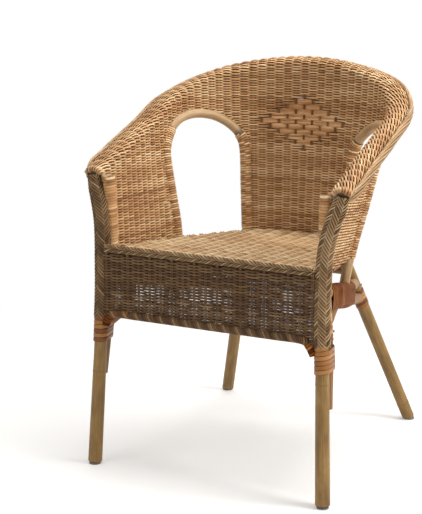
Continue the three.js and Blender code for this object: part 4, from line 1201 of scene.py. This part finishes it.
def twinWinding(first, second, firstRadius, secondRadius, axis, low, high, width, tone):
    # Turns that pass round one pole and then the other, each with its own shade
    cuts = []
    for path in (first, second):
        path = path if path[0, axis] < path[-1, axis] else path[::-1]
        keys = np.linspace(low, high, twinLook["samples"])
        cuts.append(np.stack([np.interp(keys, path[:, axis], path[:, k]) for k in range(3)], axis=1))
    middle, last = (cuts[0] + cuts[1]) / 2, twinLook["samples"] - 1
    turns = travelled(middle)[-1] / (width * twinLook["apart"])
    steps = np.arange(int(turns * twinLook["steps"]) + 1)
    spots = np.minimum(steps / twinLook["steps"] / turns, 1) * last
    a, b = (np.stack([np.interp(spots, range(last + 1), path[:, k]) for k in range(3)], axis=1)
            for path in cuts)
    near = spots.astype(int)
    ahead = unit(middle[np.minimum(near + 2, last)] - middle[np.maximum(near - 2, 0)])
    across = b - a
    across = unit(across - ahead * (across * ahead).sum(1, keepdims=True))
    angle = 2 * math.pi * (steps / twinLook["steps"])[:, None]
    outward = across * np.cos(angle) + np.cross(ahead, across) * np.sin(angle)
    onSecond = np.cos(angle) > 0
    radius = np.where(onSecond, secondRadius, firstRadius) + twinLook["reach"]
    points = np.where(onSecond, b, a) + outward * radius
    return makeLine(points, outward, 0.0, tone[(steps // twinLook["steps"]) % len(tone)])


for label in ("right", "left"):
    own = framePaths[label]
    shades = np.clip(randomness.normal(*twinLook["tones"], twinLook["shades"]), 0, 1)
    collar = twinWinding(own["leg"], own["post"], twinLook["collarLeg"], twinLook["collarPost"], 2,
                         twinLook["collarLow"], twinLook["collarHigh"], twinLook["width"], shades)
    wrapFront, wrapBack = (footY + backLook["footDepth"] * railLook["railShares"][k][1] for k in (1, 3))
    under = own["rail"] - np.array([0, 0, railLook["pitch"]])
    railWrap = twinWinding(under, own["rail"], railLook["archRadius"], railLook["radius"], 1,
                           wrapFront - twinLook["railAhead"], wrapBack + twinLook["railBehind"],
                           twinLook["railWidth"], shades)
    for name, node, line, width, finish in (
            ("LegCollar", "leg_collar", collar, twinLook["width"], caneFinish),
            ("RailWrap", "rail_wrap", railWrap, twinLook["railWidth"], shadedCaneFinish)):
        inputs = strandInputs(finish, width, twinLook["thickness"], sides=8)
        grow(f"{label}{name}", [line], strandTree, inputs, [f"{label}_{node}"])
print("windings made")

# The glides and nails are the frame's own solids, with a finish of their own
for nodeName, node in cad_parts.items():
    if node.hide_render:
        continue
    node.data.materials.clear()
    node.data.materials.append(glideFinish if nodeName.endswith("_glide") else nailFinish)


# Floor, light and camera

stageLook = dict(floor="#f2f0ed", size=9.0, roughness=0.9, shine=0.1, glow=0.22, whiteFrom=0.5, whiteAt=1.3,
                 ambient=0.32)


def seenDirectly(tree):
    # One where the camera, a mirror or glass looks, and zero for the light that reaches the object
    path = addNode(tree, "ShaderNodeLightPath").outputs
    mirrored = addNode(tree, "ShaderNodeMath", "MAXIMUM",
                       {0: path["Is Glossy Ray"], 1: path["Is Transmission Ray"]})
    return addNode(tree, "ShaderNodeMath", "MAXIMUM", {0: path["Is Camera Ray"], 1: mirrored})


floorMesh = bpy.data.meshes.new("floor")
half = stageLook["size"]
corners = [(-half, -half, 0), (half, -half, 0), (half, half, 0), (-half, half, 0)]
floorMesh.from_pydata(corners, [], [(0, 1, 2, 3)])
floor = bpy.data.objects.new("floor", floorMesh)
bpy.context.scene.collection.objects.link(floor)

# Matt white studio floor: keeps the chair's shadow, and turns plain white for the camera further away
floorFinish, floorTree = newMaterial("paleStudioFloor")
floorPaint = addNode(floorTree, "ShaderNodeBsdfPrincipled", inputs={
    "Base Color": hexColour(stageLook["floor"]), "Roughness": stageLook["roughness"],
    "Specular IOR Level": stageLook["shine"]})
floorPlace = addNode(floorTree, "ShaderNodeTexCoord").outputs["Object"]
distance = addNode(floorTree, "ShaderNodeVectorMath", "LENGTH", {0: floorPlace})
far = addNode(floorTree, "ShaderNodeMapRange", {"interpolation_type": "SMOOTHSTEP"},
              {"Value": distance, "From Min": stageLook["whiteFrom"], "From Max": stageLook["whiteAt"]})
seen = seenDirectly(floorTree)
whiteShare = addNode(floorTree, "ShaderNodeMath", "MULTIPLY", {0: far, 1: seen})
glowStrength = addNode(floorTree, "ShaderNodeMath", "MULTIPLY", {0: seen, 1: stageLook["glow"]})
glow = addNode(floorTree, "ShaderNodeEmission", inputs={"Strength": glowStrength})
lit = addNode(floorTree, "ShaderNodeAddShader", inputs={0: floorPaint, 1: glow})
white = addNode(floorTree, "ShaderNodeEmission", inputs={"Strength": 1.0})
mixed = addNode(floorTree, "ShaderNodeMixShader", inputs={0: whiteShare, 1: lit, 2: white})
addNode(floorTree, "ShaderNodeOutputMaterial", inputs={"Surface": mixed})
floorMesh.materials.append(floorFinish)

world = bpy.data.worlds.new("studio")
bpy.context.scene.world = world
world.use_nodes = True
worldTree = world.node_tree
worldTree.nodes.clear()
brightness = addNode(worldTree, "ShaderNodeMapRange", inputs={
    "Value": seenDirectly(worldTree), "To Min": stageLook["ambient"], "To Max": 1.0})
sky = addNode(worldTree, "ShaderNodeBackground", inputs={"Color": (1, 1, 1, 1), "Strength": brightness})
addNode(worldTree, "ShaderNodeOutputWorld", inputs={"Surface": sky})

lampLook = dict(
    keyRight=dict(place=(2.5, 0.1, 1.9), target=(0, 0, 0.45), size=1.3, power=62),
    softTop=dict(place=(0.1, 0.2, 3.0), target=(0, 0, 0.4), size=2.2, power=64),
    frontFill=dict(place=(-1.2, -2.6, 1.4), target=(0, 0, 0.4), size=2.0, power=15),
)
for name, look in lampLook.items():
    light = bpy.data.lights.new(name, "AREA")
    light.shape = "DISK"
    light.size = look["size"]
    light.energy = look["power"]
    lamp = bpy.data.objects.new(name, light)
    lamp.location = look["place"]
    aim = Vector(look["target"]) - Vector(look["place"])
    lamp.rotation_euler = aim.to_track_quat("-Z", "Y").to_euler()
    bpy.context.scene.collection.objects.link(lamp)
print("stage and lamps set")

# Fitted to the photo's feet, collars and rim
cameraLook = dict(place=(1.1945, -2.5548, 1.0469), yaw=0.4775, pitch=0.2254, focalPixels=1399.9,
                  imageHeight=514)
cameraData = bpy.data.cameras.new("photoCamera")
cameraData.sensor_fit = "VERTICAL"
cameraData.sensor_height = 36.0
cameraData.lens = cameraLook["focalPixels"] / cameraLook["imageHeight"] * cameraData.sensor_height
camera = bpy.data.objects.new("photoCamera", cameraData)
camera.location = cameraLook["place"]
camera.rotation_euler = (math.pi / 2 - cameraLook["pitch"], 0, cameraLook["yaw"])
bpy.context.scene.collection.objects.link(camera)
bpy.context.scene.camera = camera
bpy.context.scene.view_settings.view_transform = "Standard"
